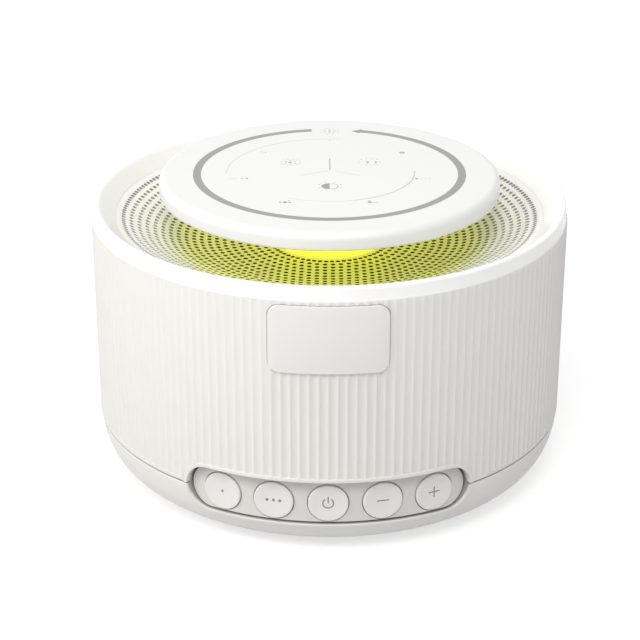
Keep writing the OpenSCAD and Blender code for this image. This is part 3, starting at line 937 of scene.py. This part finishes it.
@dataclass
class FrontPlate(Part):
    """The bare plate that is set into the housing at the front."""

    width: float = 30.2
    height: float = 18.0
    round_r: float = 3.0
    middle: float = 61.5
    seat_r: float = 64.2
    face_r: float = 65.45
    fit: float = 0.17
    edge_round: float = 0.35
    cut_from: float = 70.0
    cut_deep: float = 12.0

    def patch(self, name: str, grow: float, inner: float, outer: float) -> Piece:
        """Makes a rounded rectangle that follows the wall between two radii.

        Args:
            name: The name of the new piece.
            grow: How far its edge lies outside the plate's.
            inner: The radius of its inner face.
            outer: The radius of its outer face.

        Returns:
            The curved solid.
        """
        half_w, half_h = self.width / 2 + grow, self.height / 2 + grow
        r = self.round_r + grow
        points: list[Spot] = []
        for sx, sy, start in ((1, 1, 0), (-1, 1, 90), (-1, -1, 180), (1, -1, 270)):
            points += corner((sx * (half_w - r), sy * (half_h - r)), r, start, start + 90, 10)
        front = [spot(x, -self.cut_from, self.middle + z) for x, z in points]
        patch = self.bench.line(name, front, True)
        self.bench.pulled(patch, Vector((0, self.cut_deep * MM, 0)))
        low, high = self.middle - half_h - 3, self.middle + half_h + 3
        ring = self.bench.turned("ring", [(inner, low), (outer, low), (outer, high),
                                          (inner, high)])
        self.bench.carve(patch, ring, Carve.KEEP)
        return patch

    def pocket(self) -> Piece:
        """Makes the tool that sinks the plate's seat into the wall."""
        return self.patch("pocket", self.fit, self.seat_r, 67.0)

    def build(self) -> list[Piece]:
        """Makes the plate with its rounded front edge."""
        plate = self.patch("plate_skin", 0.0, self.seat_r, self.face_r)

        def rim(point: Vector) -> float | None:
            """Gives 0 for a point on the outer edge of the face, or nothing."""
            return 0.0 if point.xy.length >= self.face_r - 0.02 and self.on_outline(point) else None

        self.bench.eased(plate, rim, self.edge_round, 4)
        self.bench.smoothed(plate, 40)
        self.shelf.dress(plate, PLATE)
        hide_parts("front_plate")
        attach(plate, "case")
        return [plate]

    def on_outline(self, point: Vector) -> bool:
        """Says whether a point lies on the plate's outline, seen from the front."""
        x = abs(point.x) - (self.width / 2 - self.round_r)
        z = abs(point.z - self.middle) - (self.height / 2 - self.round_r)
        return abs(math.hypot(max(x, 0.0), max(z, 0.0)) - self.round_r) < 0.02


@dataclass
class Housing(Part):
    """The fluted housing with its smooth rim."""

    recess: Recess
    plate: FrontPlate
    crest_r: float = 65.0
    valley_r: float = 64.7
    rim_r: float = 64.5
    inner_r: float = 62.2
    foot_z: float = 15.4
    flute_top: float = 71.1
    shoulder_top: float = 71.9
    rim_z: float = 75.4
    rim_round: float = 0.7
    dish_r: float = 58.5
    dish_z: float = 71.68
    ledge_r: float = 57.4
    ledge_z: float = 67.23
    flutes: int = 170
    crest_w: float = 0.16
    cut_r: float = 67.0
    cut_top: float = 72.9
    lip_in: float = 62.8
    lip_top: float = 27.0

    def outline(self) -> list[Spot]:
        """Gives the wall's section, from its foot up over the rim and down inside."""
        r, top = self.crest_r, self.rim_z
        rim = corner((self.rim_r - self.rim_round, top - self.rim_round), self.rim_round, 0, 90, 8)
        return [
            (self.inner_r, PART_Z), (GROOVE_R, PART_Z), (GROOVE_R, self.foot_z),
            (r - 0.14, self.foot_z), (r - 0.04, self.foot_z + 0.04), (r, self.foot_z + 0.14),
            (r, self.flute_top), (self.rim_r + 0.03, self.shoulder_top - 0.04),
            (self.rim_r, self.shoulder_top + 0.08), *rim,
            (63.35, top), (62.95, top - 0.08), (62.5, top - 0.32), (62.0, top - 0.72),
            (self.dish_r + 0.3, self.dish_z + 0.24), (self.dish_r, self.dish_z),
            (self.dish_r, self.ledge_z), (self.ledge_r, self.ledge_z),
            (self.ledge_r, self.ledge_z - 2), (self.inner_r, self.ledge_z - 6)]

    def flute_tools(self) -> Piece:
        """Makes one flute's cutter and copies it all the way round."""
        pitch = math.pi / self.flutes
        half = self.crest_r * math.sin(pitch) - self.crest_w / 2
        sag = self.crest_r * math.cos(pitch) - self.valley_r
        r = (half * half + sag * sag) / (2 * sag)
        reach = math.degrees(math.asin(half / r))
        arc = corner((self.valley_r + r, 0.0), r, 180 - reach, 180 + reach, 10)
        start = self.foot_z + self.recess.lip_w
        points = [(self.cut_r, half), *arc, (self.cut_r, -half)]
        tool = self.bench.line("flute", [spot(x, y, start) for x, y in points], True)
        self.bench.pulled(tool, Vector((0, 0, (self.cut_top - start) * MM)))
        self.bench.faced(tool, 180 / self.flutes)
        self.bench.ringed(tool, self.flutes)
        return tool

    def build(self) -> list[Piece]:
        """Turns the wall, cuts its flutes, recess and pocket, and eases its mouth."""
        wall = self.bench.turned("wall_skin", self.outline())
        tools = self.flute_tools()
        self.bench.carve(tools, self.recess.band("lip", self.recess.lip_w, 60.0, 70.0))
        self.bench.carve(wall, tools)
        self.bench.carve(wall, self.plate.pocket())
        low, out = self.foot_z + 0.03, self.crest_r + self.recess.lip_h
        shell = self.bench.turned("shell", [
            (self.lip_in, low), (out - 0.12, low), (out, low + 0.12), (out, self.lip_top),
            (self.lip_in, self.lip_top)])
        self.recess.lip(shell, wall)
        self.recess.soften(wall, lambda z: self.crest_r)
        self.bench.smoothed(wall, 44)
        self.shelf.dress(wall, WALL)
        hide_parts("housing")
        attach(wall, "case")
        return [wall]


@dataclass
class Base(Part):
    """The rounded base with its share of the recess and the holes in its underside."""

    recess: Recess
    flat_r: float = 50.0
    curve_in: float = 15.0
    curve_h: float = 19.15
    fullness: float = 2.5
    top: float = 14.9
    lap_r: float = 62.1
    lap_top: float = 18.0
    inner_r: float = 60.7
    lip_in: float = 60.9
    lip_low: float = 5.5
    floor_t: float = 2.4
    inlet_r: float = 4.2
    inlet_z: float = 10.2
    inlet_in: float = 48.0
    corners: tuple[float, ...] = (45.0, 135.0, 225.0, 315.0)
    screw_ring: float = 50.0
    head_r: float = 3.2
    head_deep: float = 4.0
    shank_r: float = 1.7
    shank_deep: float = 12.0
    foot_ring: float = 38.0
    foot_r: float = 7.0
    foot_deep: float = 0.8

    def curve(self, z: float) -> float:
        """Gives the outer radius at a height."""
        up = (self.curve_h - z) / self.curve_h
        turn = math.acos(up ** (self.fullness / 2))
        return self.flat_r + self.curve_in * math.sin(turn) ** (2 / self.fullness)

    def outline(self) -> list[Spot]:
        """Gives the base's section."""
        heights = [self.top * (i / 26) ** 1.7 for i in range(1, 26)]
        side = [(self.curve(z), z) for z in heights if z < self.top - 0.15]
        last = self.curve(self.top)
        return [
            (0, 0), (self.flat_r, 0), *side, (last, self.top - 0.14),
            (last - 0.04, self.top - 0.04), (last - 0.14, self.top), (GROOVE_R, self.top),
            (GROOVE_R, PART_Z), (self.lap_r, PART_Z), (self.lap_r, self.lap_top),
            (self.inner_r, self.lap_top), (self.inner_r, 7.2), (57.5, 4.6),
            (54.0, self.floor_t), (0, self.floor_t)]

    def build(self) -> list[Piece]:
        """Turns the base, cuts its holes and eases the recess's lower mouth."""
        bench = self.bench
        base = bench.turned("base_skin", self.outline())
        proud = self.recess.lip_h
        heights = [self.lip_low + 0.35 * i for i in range(27)]
        last = self.curve(self.top) + proud
        shell = bench.turned("shell", [
            (self.lip_in, self.lip_low),
            *[(self.curve(z) + proud, z) for z in heights if z < self.top - 0.2],
            (last, self.top - 0.15), (last - 0.12, self.top - 0.03),
            (self.lip_in, self.top - 0.03)])
        self.recess.lip(shell, base)
        bench.carve(base, bench.rod(self.inlet_r, self.inlet_in, 67.0, self.inlet_z, 180.0))
        for degrees in self.corners:
            for tool in (bench.pin(self.head_r, self.screw_ring, degrees, -1, self.head_deep),
                         bench.pin(self.shank_r, self.screw_ring, degrees, -2, self.shank_deep),
                         bench.pin(self.foot_r, self.foot_ring, degrees, -1, self.foot_deep, 96)):
                bench.carve(base, tool)
        self.recess.soften(base, self.curve)

        def inlet(point: Vector) -> float | None:
            """Gives 0 for a point on the outer edge of the inlet's hole, or nothing."""
            off = math.hypot(point.x, point.z - self.inlet_z) - self.inlet_r
            return 0.0 if point.y > 50 and point.xy.length > 63 and abs(off) < 0.03 else None

        bench.eased(base, inlet, 0.25)
        bench.smoothed(base, 40)
        self.shelf.dress(base, SHELL)
        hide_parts("base")
        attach(base, "case")
        return [base]


@dataclass
class Dish(Part):
    """The dished grille: one smooth turned dish with its rows of holes."""

    hub_r: float = 12.9
    outer_r: float = 58.48
    thick: float = 1.6
    hole_r: float = 0.64
    hole_sides: int = 12
    first_row: float = 56.6
    row_step: float = 2.125
    hub_z: float = 62.4
    top_z: float = 71.62
    skirt_in: float = 57.5
    skirt_z: float = 67.23
    brow: float = 2.2
    rows: int = 20
    spacing: float = 2.13
    edge_spacing: float = 1.63
    middle_row: int = 9
    pin_long: float = 4.2
    knots: tuple[Spot, ...] = (
        (12.0, 62.40), (18.0, 62.40), (22.0, 62.42), (26.0, 62.53), (30.0, 62.76), (34.0, 63.22),
        (38.0, 63.98), (42.0, 65.03), (46.0, 66.38), (50.0, 68.02), (54.0, 69.82),
        (58.0, 71.56), (60.0, 72.5))

    def rise(self, r: float) -> float:
        """Gives the height of the dish at a radius, as a smooth line through its knots."""
        k = self.knots
        i = next((n for n in range(1, len(k) - 2) if k[n + 1][0] >= r), len(k) - 3)
        (r0, z0), (r1, z1), (r2, z2), (r3, z3) = k[i - 1:i + 3]
        start, end = (z2 - z0) / (r2 - r0), (z3 - z1) / (r3 - r1)
        span = r2 - r1
        t = (r - r1) / span
        return ((2 * t ** 3 - 3 * t ** 2 + 1) * z1 + (t ** 3 - 2 * t ** 2 + t) * span * start
                + (3 * t ** 2 - 2 * t ** 3) * z2 + (t ** 3 - t ** 2) * span * end)

    def outline(self) -> list[Spot]:
        """Gives the dish's section, its rings lying between the rows."""
        rings = [self.first_row - self.row_step * (k - 0.5) for k in range(self.rows + 1)]
        upper = [(r, self.rise(r)) for r in rings]
        lower = [(r, z - self.thick) for r, z in reversed(upper)]
        top = min(self.rise(self.outer_r), self.top_z)
        return [(self.outer_r, top), *upper, (self.hub_r + 0.15, self.hub_z),
                (self.hub_r, self.hub_z - 0.15), (self.hub_r, self.hub_z - self.thick),
                *lower[:-1], (self.skirt_in, top - self.brow), (self.skirt_in, self.skirt_z),
                (self.outer_r, self.skirt_z)]

    def pins(self) -> Piece:
        """Makes a pin for each row, square to the dish, and copies it round its row."""
        rows: list[Piece] = []
        for k in range(self.rows):
            r = self.first_row - self.row_step * k
            edge = k in (0, self.rows - 1)
            count = round(math.tau * r / (self.edge_spacing if edge else self.spacing))
            slope = math.atan2(self.rise(r + 0.4) - self.rise(r - 0.4), 0.8)
            self.bench.fresh()
            bpy.ops.mesh.primitive_cylinder_add(vertices=self.hole_sides, radius=self.hole_r * MM,
                                                depth=self.pin_long * MM, location=(0, 0, 0))
            pin = bpy.context.object
            shift = 0.0 if k == self.middle_row else 180 / count
            place = (Matrix.Rotation(math.radians(shift - 90), 4, "Z")
                     @ Matrix.Translation(spot(r, 0, self.rise(r) - self.thick / 2))
                     @ Matrix.Rotation(-slope, 4, "Y"))
            self.bench.set_down(pin, place)
            self.bench.ringed(pin, count)
            rows.append(pin)
        pins = self.bench.joined("pins", rows)
        self.shelf.dress(pins, HOLES)
        return pins

    def build(self) -> list[Piece]:
        """Turns the dish and bores its holes."""
        dish = self.bench.turned("dish_skin", self.outline(), FINE_STEPS)
        self.shelf.dress(dish, DISH)
        self.bench.carve(dish, self.pins())
        self.bench.smoothed(dish, 30)
        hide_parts("grille")
        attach(dish, "case")
        return [dish]


@dataclass
class Hub(Part):
    """The frosted tube that lights the dish."""

    outer_r: float = 14.0
    inner_r: float = 12.0
    foot_z: float = 62.4
    top_z: float = 76.7
    rim_round: float = 0.4

    def build(self) -> list[Piece]:
        """Turns the tube with softened ends."""
        r, s, low, top = self.outer_r, self.inner_r, self.foot_z, self.top_z
        rim = corner((r - self.rim_round, top - self.rim_round), self.rim_round, 0, 90, 4)
        tube = self.bench.turned("light_skin", [(s, low), (r, low), *rim, (s, top)], FINE_STEPS)
        self.bench.smoothed(tube, 40)
        self.shelf.dress(tube, LIGHT)
        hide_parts("light_tube")
        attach(tube, "case")
        return [tube]


@dataclass
class Print(Part):
    """Thin printed signs, drawn flat with +Y up and then laid on a face."""

    thick: float = 0.03
    parts: list[Piece] = field(default_factory=list)

    def dot(self, x: float, y: float, r: float, sides: int = 24) -> None:
        """Adds a round dot."""
        self.shape(corner((x, y), r, 0, 360 - 360 / sides, sides - 1))

    def dots(self, *spots: tuple[float, float, float]) -> None:
        """Adds round dots, each given by its place and its radius."""
        for x, y, r in spots:
            self.dot(x, y, r)

    def crown(self, middle: Spot, radius: float, count: int, size: float) -> None:
        """Adds a ring of small dots.

        Args:
            middle: The middle of the ring.
            radius: The radius of the ring.
            count: How many dots there are.
            size: The radius of a dot.
        """
        for i in range(count):
            t = math.tau * (i + 0.5) / count
            self.dot(middle[0] + radius * math.cos(t), middle[1] + radius * math.sin(t), size, 10)

    def bar(self, x: float, y: float, width: float, height: float, degrees: float = 0) -> None:
        """Adds a bar.

        Args:
            x: Its middle, across.
            y: Its middle, up.
            width: Its width before it is turned.
            height: Its height before it is turned.
            degrees: The angle that it is turned by.
        """
        t = math.radians(degrees)
        ends = ((-1, -1), (1, -1), (1, 1), (-1, 1))
        flat = [(sx * width / 2, sy * height / 2) for sx, sy in ends]
        self.shape([(x + u * math.cos(t) - v * math.sin(t), y + u * math.sin(t) + v * math.cos(t))
                    for u, v in flat])

    def stroke(self, start: Spot, end: Spot, width: float) -> None:
        """Adds a straight stroke between two points."""
        dx, dy = end[0] - start[0], end[1] - start[1]
        self.bar((start[0] + end[0]) / 2, (start[1] + end[1]) / 2, math.hypot(dx, dy), width,
                 math.degrees(math.atan2(dy, dx)))

    def shape(self, points: Outline) -> None:
        """Adds a filled shape."""
        part = self.bench.line("sign", [Vector((x * MM, y * MM, 0)) for x, y in points], True)
        self.bench.pulled(part, Vector((0, 0, self.thick * MM)))
        self.parts.append(part)

    def arc(self, x: float, y: float, inner: float, outer: float, start: float,
            end: float) -> None:
        """Adds part of a ring, from one angle round to another.

        Args:
            x: The ring's middle, across.
            y: The ring's middle, up.
            inner: Its inner radius.
            outer: Its outer radius.
            start: The first angle, in degrees.
            end: The last angle, larger than the first.
        """
        t = math.radians(start)
        ends = [Vector(((x + r * math.cos(t)) * MM, (y + r * math.sin(t)) * MM, 0))
                for r in (inner, outer)]
        part = self.bench.line("sign", ends)
        whole = end - start >= 359.9
        full_steps = 240 if outer > 10 else 40
        steps = max(12, int((end - start) / 360 * full_steps))
        self.bench.open(part)
        bpy.ops.mesh.spin(steps=steps, angle=math.radians(end - start),
                          center=(x * MM, y * MM, 0), axis=(0, 0, -1))
        if whole:
            bpy.ops.mesh.select_all(action="SELECT")
            bpy.ops.mesh.remove_doubles(threshold=0.0005 * MM)
        self.bench.pulled(part, Vector((0, 0, self.thick * MM)))
        self.parts.append(part)

    def made(self, name: str, place: Matrix, finish: Finish) -> Piece:
        """Joins the signs and lays them on a face.

        Args:
            name: The name of the joined piece.
            place: Where the face's own axes lie, in metres.
            finish: The ink.

        Returns:
            The joined piece.
        """
        piece = self.bench.joined(name, self.parts)
        self.bench.set_down(piece, place)
        self.bench.open(piece)
        self.bench.seal(0.0001)
        self.shelf.dress(piece, finish)
        self.parts = []
        return piece


@dataclass
class Dial(Part):
    """The floating dial with its turning scale and its signs."""

    radius: float = 46.4
    low: float = 77.3
    top: float = 82.16
    edge: float = 1.9
    ring_in: float = 34.95
    ring_out: float = 37.12
    ring_start: float = 98.0
    ring_end: float = 75.2
    swing: float = 0.42
    roof_z: float = 79.4
    lip_z: float = 78.5
    stem_r: float = 5.2
    bore_r: float = 3.0
    stem_z: float = 67.0
    sun: Spot = (0.2, 35.0)
    moon: Spot = (-10.75, 7.7)
    waves: Spot = (11.0, 7.8)
    shine: Spot = (0.1, -11.55)

    def cap(self) -> Piece:
        """Turns the hollow cap."""
        r, top, low = self.radius, self.top, self.low
        skin = self.bench.turned("dial_skin", [
            (0, top), (20.0, top), (r - self.edge - 0.8, top),
            *reversed(corner((r - self.edge, top - self.edge), self.edge, 0, 90, 12)),
            (r, low + 0.8), *reversed(corner((r - 0.8, low + 0.8), 0.8, -90, 0, 6)),
            (r - 2.5, low), (r - 2.5, self.lip_z), (r - 3.8, self.lip_z), (r - 3.8, self.roof_z),
            (self.stem_r, self.roof_z), (self.stem_r, self.stem_z), (self.bore_r, self.stem_z),
            (self.bore_r, self.roof_z - 0.1), (0, self.roof_z - 0.1)])
        self.bench.smoothed(skin, 35)
        self.shelf.dress(skin, DIAL)
        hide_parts("dial")
        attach(skin, "dial_knob")
        return skin

    def face(self) -> Matrix:
        """Gives the place of the dial's top face."""
        turn = Matrix.Rotation(math.radians(self.swing), 4, "Z")
        return Matrix.Translation(spot(0, 0, self.top)) @ turn

    def scale(self) -> Piece:
        """Prints the open ring with its arrowhead."""
        sheet = Print(self.bench, self.shelf)
        middle, half = (self.ring_in + self.ring_out) / 2, (self.ring_out - self.ring_in) / 2
        sheet.arc(0, 0, self.ring_in, self.ring_out, self.ring_start, 360 + self.ring_end)
        spread = [(middle - 1.7 * half, self.ring_end), (middle + 1.7 * half, self.ring_end),
                  (middle - 0.45, self.ring_end + 4.2)]
        sheet.shape([(r * math.cos(math.radians(a)), r * math.sin(math.radians(a)))
                     for r, a in spread])
        return sheet.made("dial_scale_print", self.face(), INK)

    def signs(self) -> Piece:
        """Prints the strong parts of the small pictograms."""
        p = Print(self.bench, self.shelf)
        p.dots((-12.9, -23.7, 0.34), (-11.7, -23.7, 0.58), (-10.5, -23.7, 0.38),
               (10.4, -23.6, 0.55), (23.5, -5.6, 0.42), (-22.3, -5.4, 0.34), (*self.moon, 0.44))
        p.arc(20.4, 15.9, 0.3, 0.74, 0, 360)
        p.arc(9.9, 7.8, 0.7, 1.05, -80, 80)
        p.arc(12.0, 7.8, 0.85, 1.15, -60, 60)
        p.shape([(0.0, -9.35), *corner((0.0, -11.55), 2.2, 100, 260, 18), (0.0, -13.75)])
        return p.made("dial_signs_print", self.face(), INK)

    def shades(self) -> Piece:
        """Prints the softer parts of the pictograms and the upright divider."""
        p = Print(self.bench, self.shelf)
        p.stroke((0.1, 10.7), (0.1, 1.3), 0.36)
        p.arc(0.15, -11.55, 1.95, 2.2, -86, 86)
        p.arc(12.0, -22.6, 1.3, 1.62, 225, 300)
        p.bar(-23.6, -5.4, 0.75, 0.4)
        p.dots((*self.sun, 0.42), (0.2, 26.6, 0.3), (-10.7, -22.4, 0.26), (10.3, -22.4, 0.26))
        p.crown(self.moon, 1.5, 6, 0.32)
        p.crown(self.sun, 1.6, 6, 0.3)
        p.crown(self.shine, 3.1, 8, 0.25)
        for start in (-74, -36):
            p.arc(0, 0, 23.0, 23.26, start + 0.2, start + 38)
        return p.made("dial_soft_print", self.face(), SOFT)

    def hairlines(self) -> Piece:
        """Prints the palest marks: two dividers, inner arcs and rings and runs of dots."""
        p = Print(self.bench, self.shelf)
        p.stroke((-0.6, 0.5), (-8.0, -2.9), 0.24)
        p.stroke((1.2, 0.5), (8.1, -3.0), 0.24)
        p.arc(0, 0, 27.85, 28.1, 84, 182)
        p.arc(0, 0, 23.0, 23.22, -118, -74)
        p.crown(self.moon, 2.7, 12, 0.28)
        p.crown(self.waves, 3.0, 12, 0.3)
        p.crown(self.sun, 2.7, 8, 0.28)
        p.dots(*[(-26.8 + 0.8 * i, -5.7, 0.28) for i in range(3)],
               *[(24.8 + 1.1 * i, -5.6, 0.28) for i in range(3)],
               (18.0, 15.4, 0.28), (-18.9, 16.6, 0.36), (-17.8, 16.0, 0.42))
        return p.made("dial_pale_print", self.face(), FAINT)

    def build(self) -> list[Piece]:
        """Makes the cap and lays its prints on it."""
        pieces = [self.cap(), self.scale(), self.signs(), self.shades(), self.hairlines()]
        for piece in pieces[1:]:
            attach(piece, "dial_knob")
        return pieces


class Sign(Enum):
    """What is printed on a button, with the button's angle from the front."""

    DOT = ("dot", -25.8)
    DOTS = ("dots", -12.9)
    POWER = ("power", 0.0)
    MINUS = ("minus", 12.9)
    PLUS = ("plus", 25.8)


@dataclass
class ButtonRow(Part):
    """The recess's floor and the five buttons in it."""

    recess: Recess
    floor_r: float = 62.9
    back_r: float = 59.4
    height: float = 14.7
    face_r: float = 63.35
    radius: float = 5.25
    gap: float = 0.2
    hollow: float = 0.3
    sunk: float = 0.04
    floor_grow: float = -0.62
    bore_from: float = 55.0
    bore_to: float = 68.0
    bore_round: float = 0.12
    edge: float = 0.4
    stop_r: float = 59.03
    flange_h: float = 1.2
    flange_w: float = 0.7
    stem_r: float = 2.0
    stem_end: float = 56.5

    def floor(self) -> Piece:
        """Makes the curved floor and cuts the buttons' holes in it."""
        floor = self.recess.band("panel_skin", self.floor_grow, self.back_r, self.floor_r)
        self.shelf.dress(floor, PANEL)
        bore = self.radius + self.gap
        for sign in Sign:
            hole = self.bench.rod(bore, self.bore_from, self.bore_to, self.height, sign.value[1])
            # The hole's walls take the painted shade.
            self.shelf.dress(hole, GAP_SHADE)
            self.bench.carve(floor, hole)
        self.bench.open(floor)
        self.bench.seal(0.004)

        def mouth(point: Vector) -> float | None:
            """Gives the angle of the hole whose front edge a point lies on, or nothing."""
            if point.xy.length < self.floor_r - 0.03:
                return None
            return next((s.value[1] for s in Sign
                         if abs(self.off_axis(point, s.value[1]) - bore) < 0.02), None)

        self.bench.eased(floor, mouth, self.bore_round, 2)
        self.bench.smoothed(floor, 40)
        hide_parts("button_panel")
        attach(floor, "case")
        return floor

    def off_axis(self, point: Vector, degrees: float) -> float:
        """Gives a point's distance from a button's own line.

        Args:
            point: The point, in millimetres above the underside.
            degrees: The button's angle from the front.

        Returns:
            The distance in millimetres.
        """
        t = math.radians(degrees)
        side = point.x * math.cos(t) + point.y * math.sin(t)
        return math.hypot(side, point.z - self.height)

    def cap(self, sign: Sign) -> Piece:
        """Turns one button with its flange and stem, hollows it and sinks its sign in it."""
        name, degrees = sign.value
        face, r, bowl_r = self.face_r, self.radius, self.radius - self.edge - 0.02
        back, brim = self.stop_r - self.flange_h, r + self.flange_w
        bowl = [(bowl_r * i / 8, face - self.hollow * (1 - (i / 8) ** 2)) for i in range(8, -1, -1)]
        outline = [(0, self.stem_end), (self.stem_r, self.stem_end), (self.stem_r, back),
                   (brim, back), (brim, self.stop_r), (r, self.stop_r),
                   *corner((r - self.edge, face - self.edge), self.edge, 0, 90, 6)[:-1], *bowl]
        cap = self.bench.turned(f"button_{name}_skin", outline, 96, Turn.OUTWARD, self.height)
        self.bench.faced(cap, degrees)
        self.shelf.dress(cap, BUTTON)
        self.bench.carve(cap, self.mark(sign))
        self.bench.smoothed(cap, 40)
        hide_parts(f"button_{name}")
        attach(cap, f"button_{name}_key")
        return cap

    def mark(self, sign: Sign) -> Piece:
        """Makes the tool that sinks a button's sign in its face, with its ink."""
        degrees = sign.value[1]
        p = Print(self.bench, self.shelf, 0.8)
        match sign:
            case Sign.DOT:
                p.dot(0, 0, 0.4)
            case Sign.DOTS:
                for x in (-1.7, 0, 1.7):
                    p.dot(x, 0, 0.42)
            case Sign.POWER:
                p.arc(0, 0, 1.2, 1.55, 125, 415)
                p.bar(0, 0.95, 0.35, 1.9)
            case Sign.MINUS:
                p.bar(0, 0, 3.3, 0.36)
            case Sign.PLUS:
                p.bar(0, 0, 3.2, 0.36)
                p.bar(0, 0.89, 0.36, 1.4)
                p.bar(0, -0.89, 0.36, 1.4)
        t = math.radians(degrees)
        place = Matrix(((math.cos(t), 0, math.sin(t)), (math.sin(t), 0, -math.cos(t)), (0, 1, 0)))
        deep = round_point(self.face_r - self.hollow - self.sunk, degrees, self.height)
        return p.made("sign", Matrix.Translation(deep) @ place.to_4x4(), DARK_INK)

    def build(self) -> list[Piece]:
        """Makes the floor and the buttons."""
        return [self.floor(), *[self.cap(sign) for sign in Sign]]


@dataclass
class Works:
    """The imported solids: those that stay as they are, and those under a finer piece."""

    shelf: Shelf
    groups: tuple[tuple[Finish, tuple[str, ...]], ...] = (
        (GREEN, ("switch_board", "main_board")),
        (WHITE, ("led_board",)),
        (CHIPS, ("leds",)),
        (BLACK, ("switches", "hub_bridge", "baffle", "board_parts", "power_socket")),
        (STEEL, ("bridge_screws", "baffle_screws", "speaker_screws", "board_screws",
                 "case_screws", "encoder_body", "encoder_nut", "encoder_shaft")),
        (FRAME_PAINT, ("speaker_frame",)),
        (MAGNET, ("speaker_magnet",)),
        (PULP, ("speaker_cone",)),
        (RUBBER, ("speaker_surround",)),
        (FOOT_RUBBER, ("foot_1", "foot_2", "foot_3", "foot_4")),
        (WALL, ("housing",)),
        (SHELL, ("base",)),
        (PANEL, ("button_panel",)),
        (PLATE, ("front_plate",)),
        (DISH, ("grille",)),
        (LIGHT, ("light_tube",)),
        (DIAL, ("dial", "dial_cover")),
        (BUTTON, tuple(f"button_{sign.value[0]}" for sign in Sign)))

    def build(self) -> list[Piece]:
        """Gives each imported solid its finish."""
        pieces = []
        for finish, names in self.groups:
            for name in names:
                pieces.append(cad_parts[name])
                self.shelf.dress(pieces[-1], finish)
        return pieces


@dataclass(frozen=True)
class SoftBox:
    """A soft square lamp: its place and side in metres, and its power in watts."""

    name: str
    place: tuple[float, float, float]
    side: float
    power: float
    tint: RGB = (1.0, 1.0, 1.0)


@dataclass
class Studio:
    """The pale floor, the soft lights and the camera, whose stand is in millimetres."""

    bench: Bench
    lens: float = 103.94
    stand: tuple[float, float, float] = (-2.56, -475.8, 252.6)
    tilt: float = 24.168
    swing: float = 0.42
    sky: float = 0.58
    floor_tint: float = 0.5
    floor_lift: float = 0.62
    boxes: tuple[SoftBox, ...] = (
        SoftBox("key", (-1.13, -0.46, 0.90), 0.8, 9.0, (1.0, 0.985, 0.96)),
        SoftBox("front", (-0.05, -0.80, 1.20), 0.45, 6.8))

    def floor(self) -> Piece:
        """Lays the floor, which shows white but keeps the machine's shadow."""
        self.bench.fresh()
        bpy.ops.mesh.primitive_plane_add(size=6.0, location=(0, 0, 0))
        floor = bpy.context.object
        floor.name = "floor"
        self.bench.open(floor)
        bpy.ops.mesh.subdivide(number_cuts=3)
        bpy.ops.object.mode_set(mode="OBJECT")
        recipe = Recipe("floor_paper")
        grain = recipe.noise(300.0)
        recipe.shine(Base_Color=recipe.mixed(grain, (0.70, 0.70, 0.70), (0.72, 0.72, 0.72)),
                     Roughness=1.0, Specular_IOR_Level=0.0)
        tint = (self.floor_tint, self.floor_tint, self.floor_tint, 1.0)
        paper = recipe.node("ShaderNodeBsdfDiffuse", {}, {"Color": tint})
        lift = recipe.node("ShaderNodeEmission", {}, {"Strength": self.floor_lift})
        shown = recipe.node("ShaderNodeAddShader", {}, {0: paper, 1: lift})
        recipe.show(recipe.node("ShaderNodeMixShader", {},
                                {0: recipe.seen(), 1: recipe.surface(), 2: shown}))
        floor.data.materials.append(recipe.material)
        return floor

    def sky_light(self) -> None:
        """Fills the world with even light that shows as plain white."""
        world = bpy.data.worlds.new("studio")
        bpy.context.scene.world = world
        world.use_nodes = True
        nodes = Nodes(world.node_tree, "ShaderNodeOutputWorld")
        even, white = (nodes.node("ShaderNodeBackground", {},
                                  {"Color": (1, 1, 1, 1), "Strength": strength})
                       for strength in (self.sky, 1.0))
        nodes.show(nodes.node("ShaderNodeMixShader", {}, {0: nodes.seen(), 1: even, 2: white}))

    def lamp(self, box: SoftBox) -> None:
        """Hangs a lamp that points at the machine."""
        self.bench.fresh()
        bpy.ops.object.light_add(type="AREA", location=box.place)
        lamp = bpy.context.object
        lamp.name = box.name
        lamp.data.size = box.side
        lamp.data.energy = box.power
        lamp.data.color = box.tint
        way = Vector((0, 0, 0.04)) - Vector(box.place)
        lamp.rotation_euler = way.to_track_quat("-Z", "Y").to_euler()

    def camera(self) -> None:
        """Sets the camera where the photograph was taken from."""
        self.bench.fresh()
        swing = math.radians(self.swing)
        place = Matrix.Rotation(swing, 3, "Z") @ Vector(self.stand)
        bpy.ops.object.camera_add(location=place * MM,
                                  rotation=(math.radians(90 - self.tilt), 0, swing))
        camera = bpy.context.object
        camera.name = "camera"
        camera.data.sensor_width = 36.0
        camera.data.lens = self.lens
        camera.data.clip_start = 0.01
        bpy.context.scene.camera = camera

    def build(self) -> list[Piece]:
        """Sets the whole studio up."""
        floor = self.floor()
        self.sky_light()
        for box in self.boxes:
            self.lamp(box)
        self.camera()
        bpy.context.scene.view_settings.view_transform = "Standard"
        return [floor]


def main() -> None:
    """Builds the machine's pieces in order and then the studio."""
    logging.basicConfig(level=logging.INFO, format="%(name)s %(message)s")
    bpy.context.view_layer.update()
    bench, shelf = Bench(), Shelf()
    recess = Recess(bench)
    plate = FrontPlate(bench, shelf)
    for part in (Works(shelf), Base(bench, shelf, recess), Housing(bench, shelf, recess, plate),
                 plate, ButtonRow(bench, shelf, recess), Dish(bench, shelf), Hub(bench, shelf),
                 Dial(bench, shelf), Studio(bench)):
        for piece in part.build():
            log.info("%s: %s, %d faces", type(part).__name__, piece.name,
                     len(piece.data.polygons))
    bench.fresh()


if __name__ == "__main__":
    main()
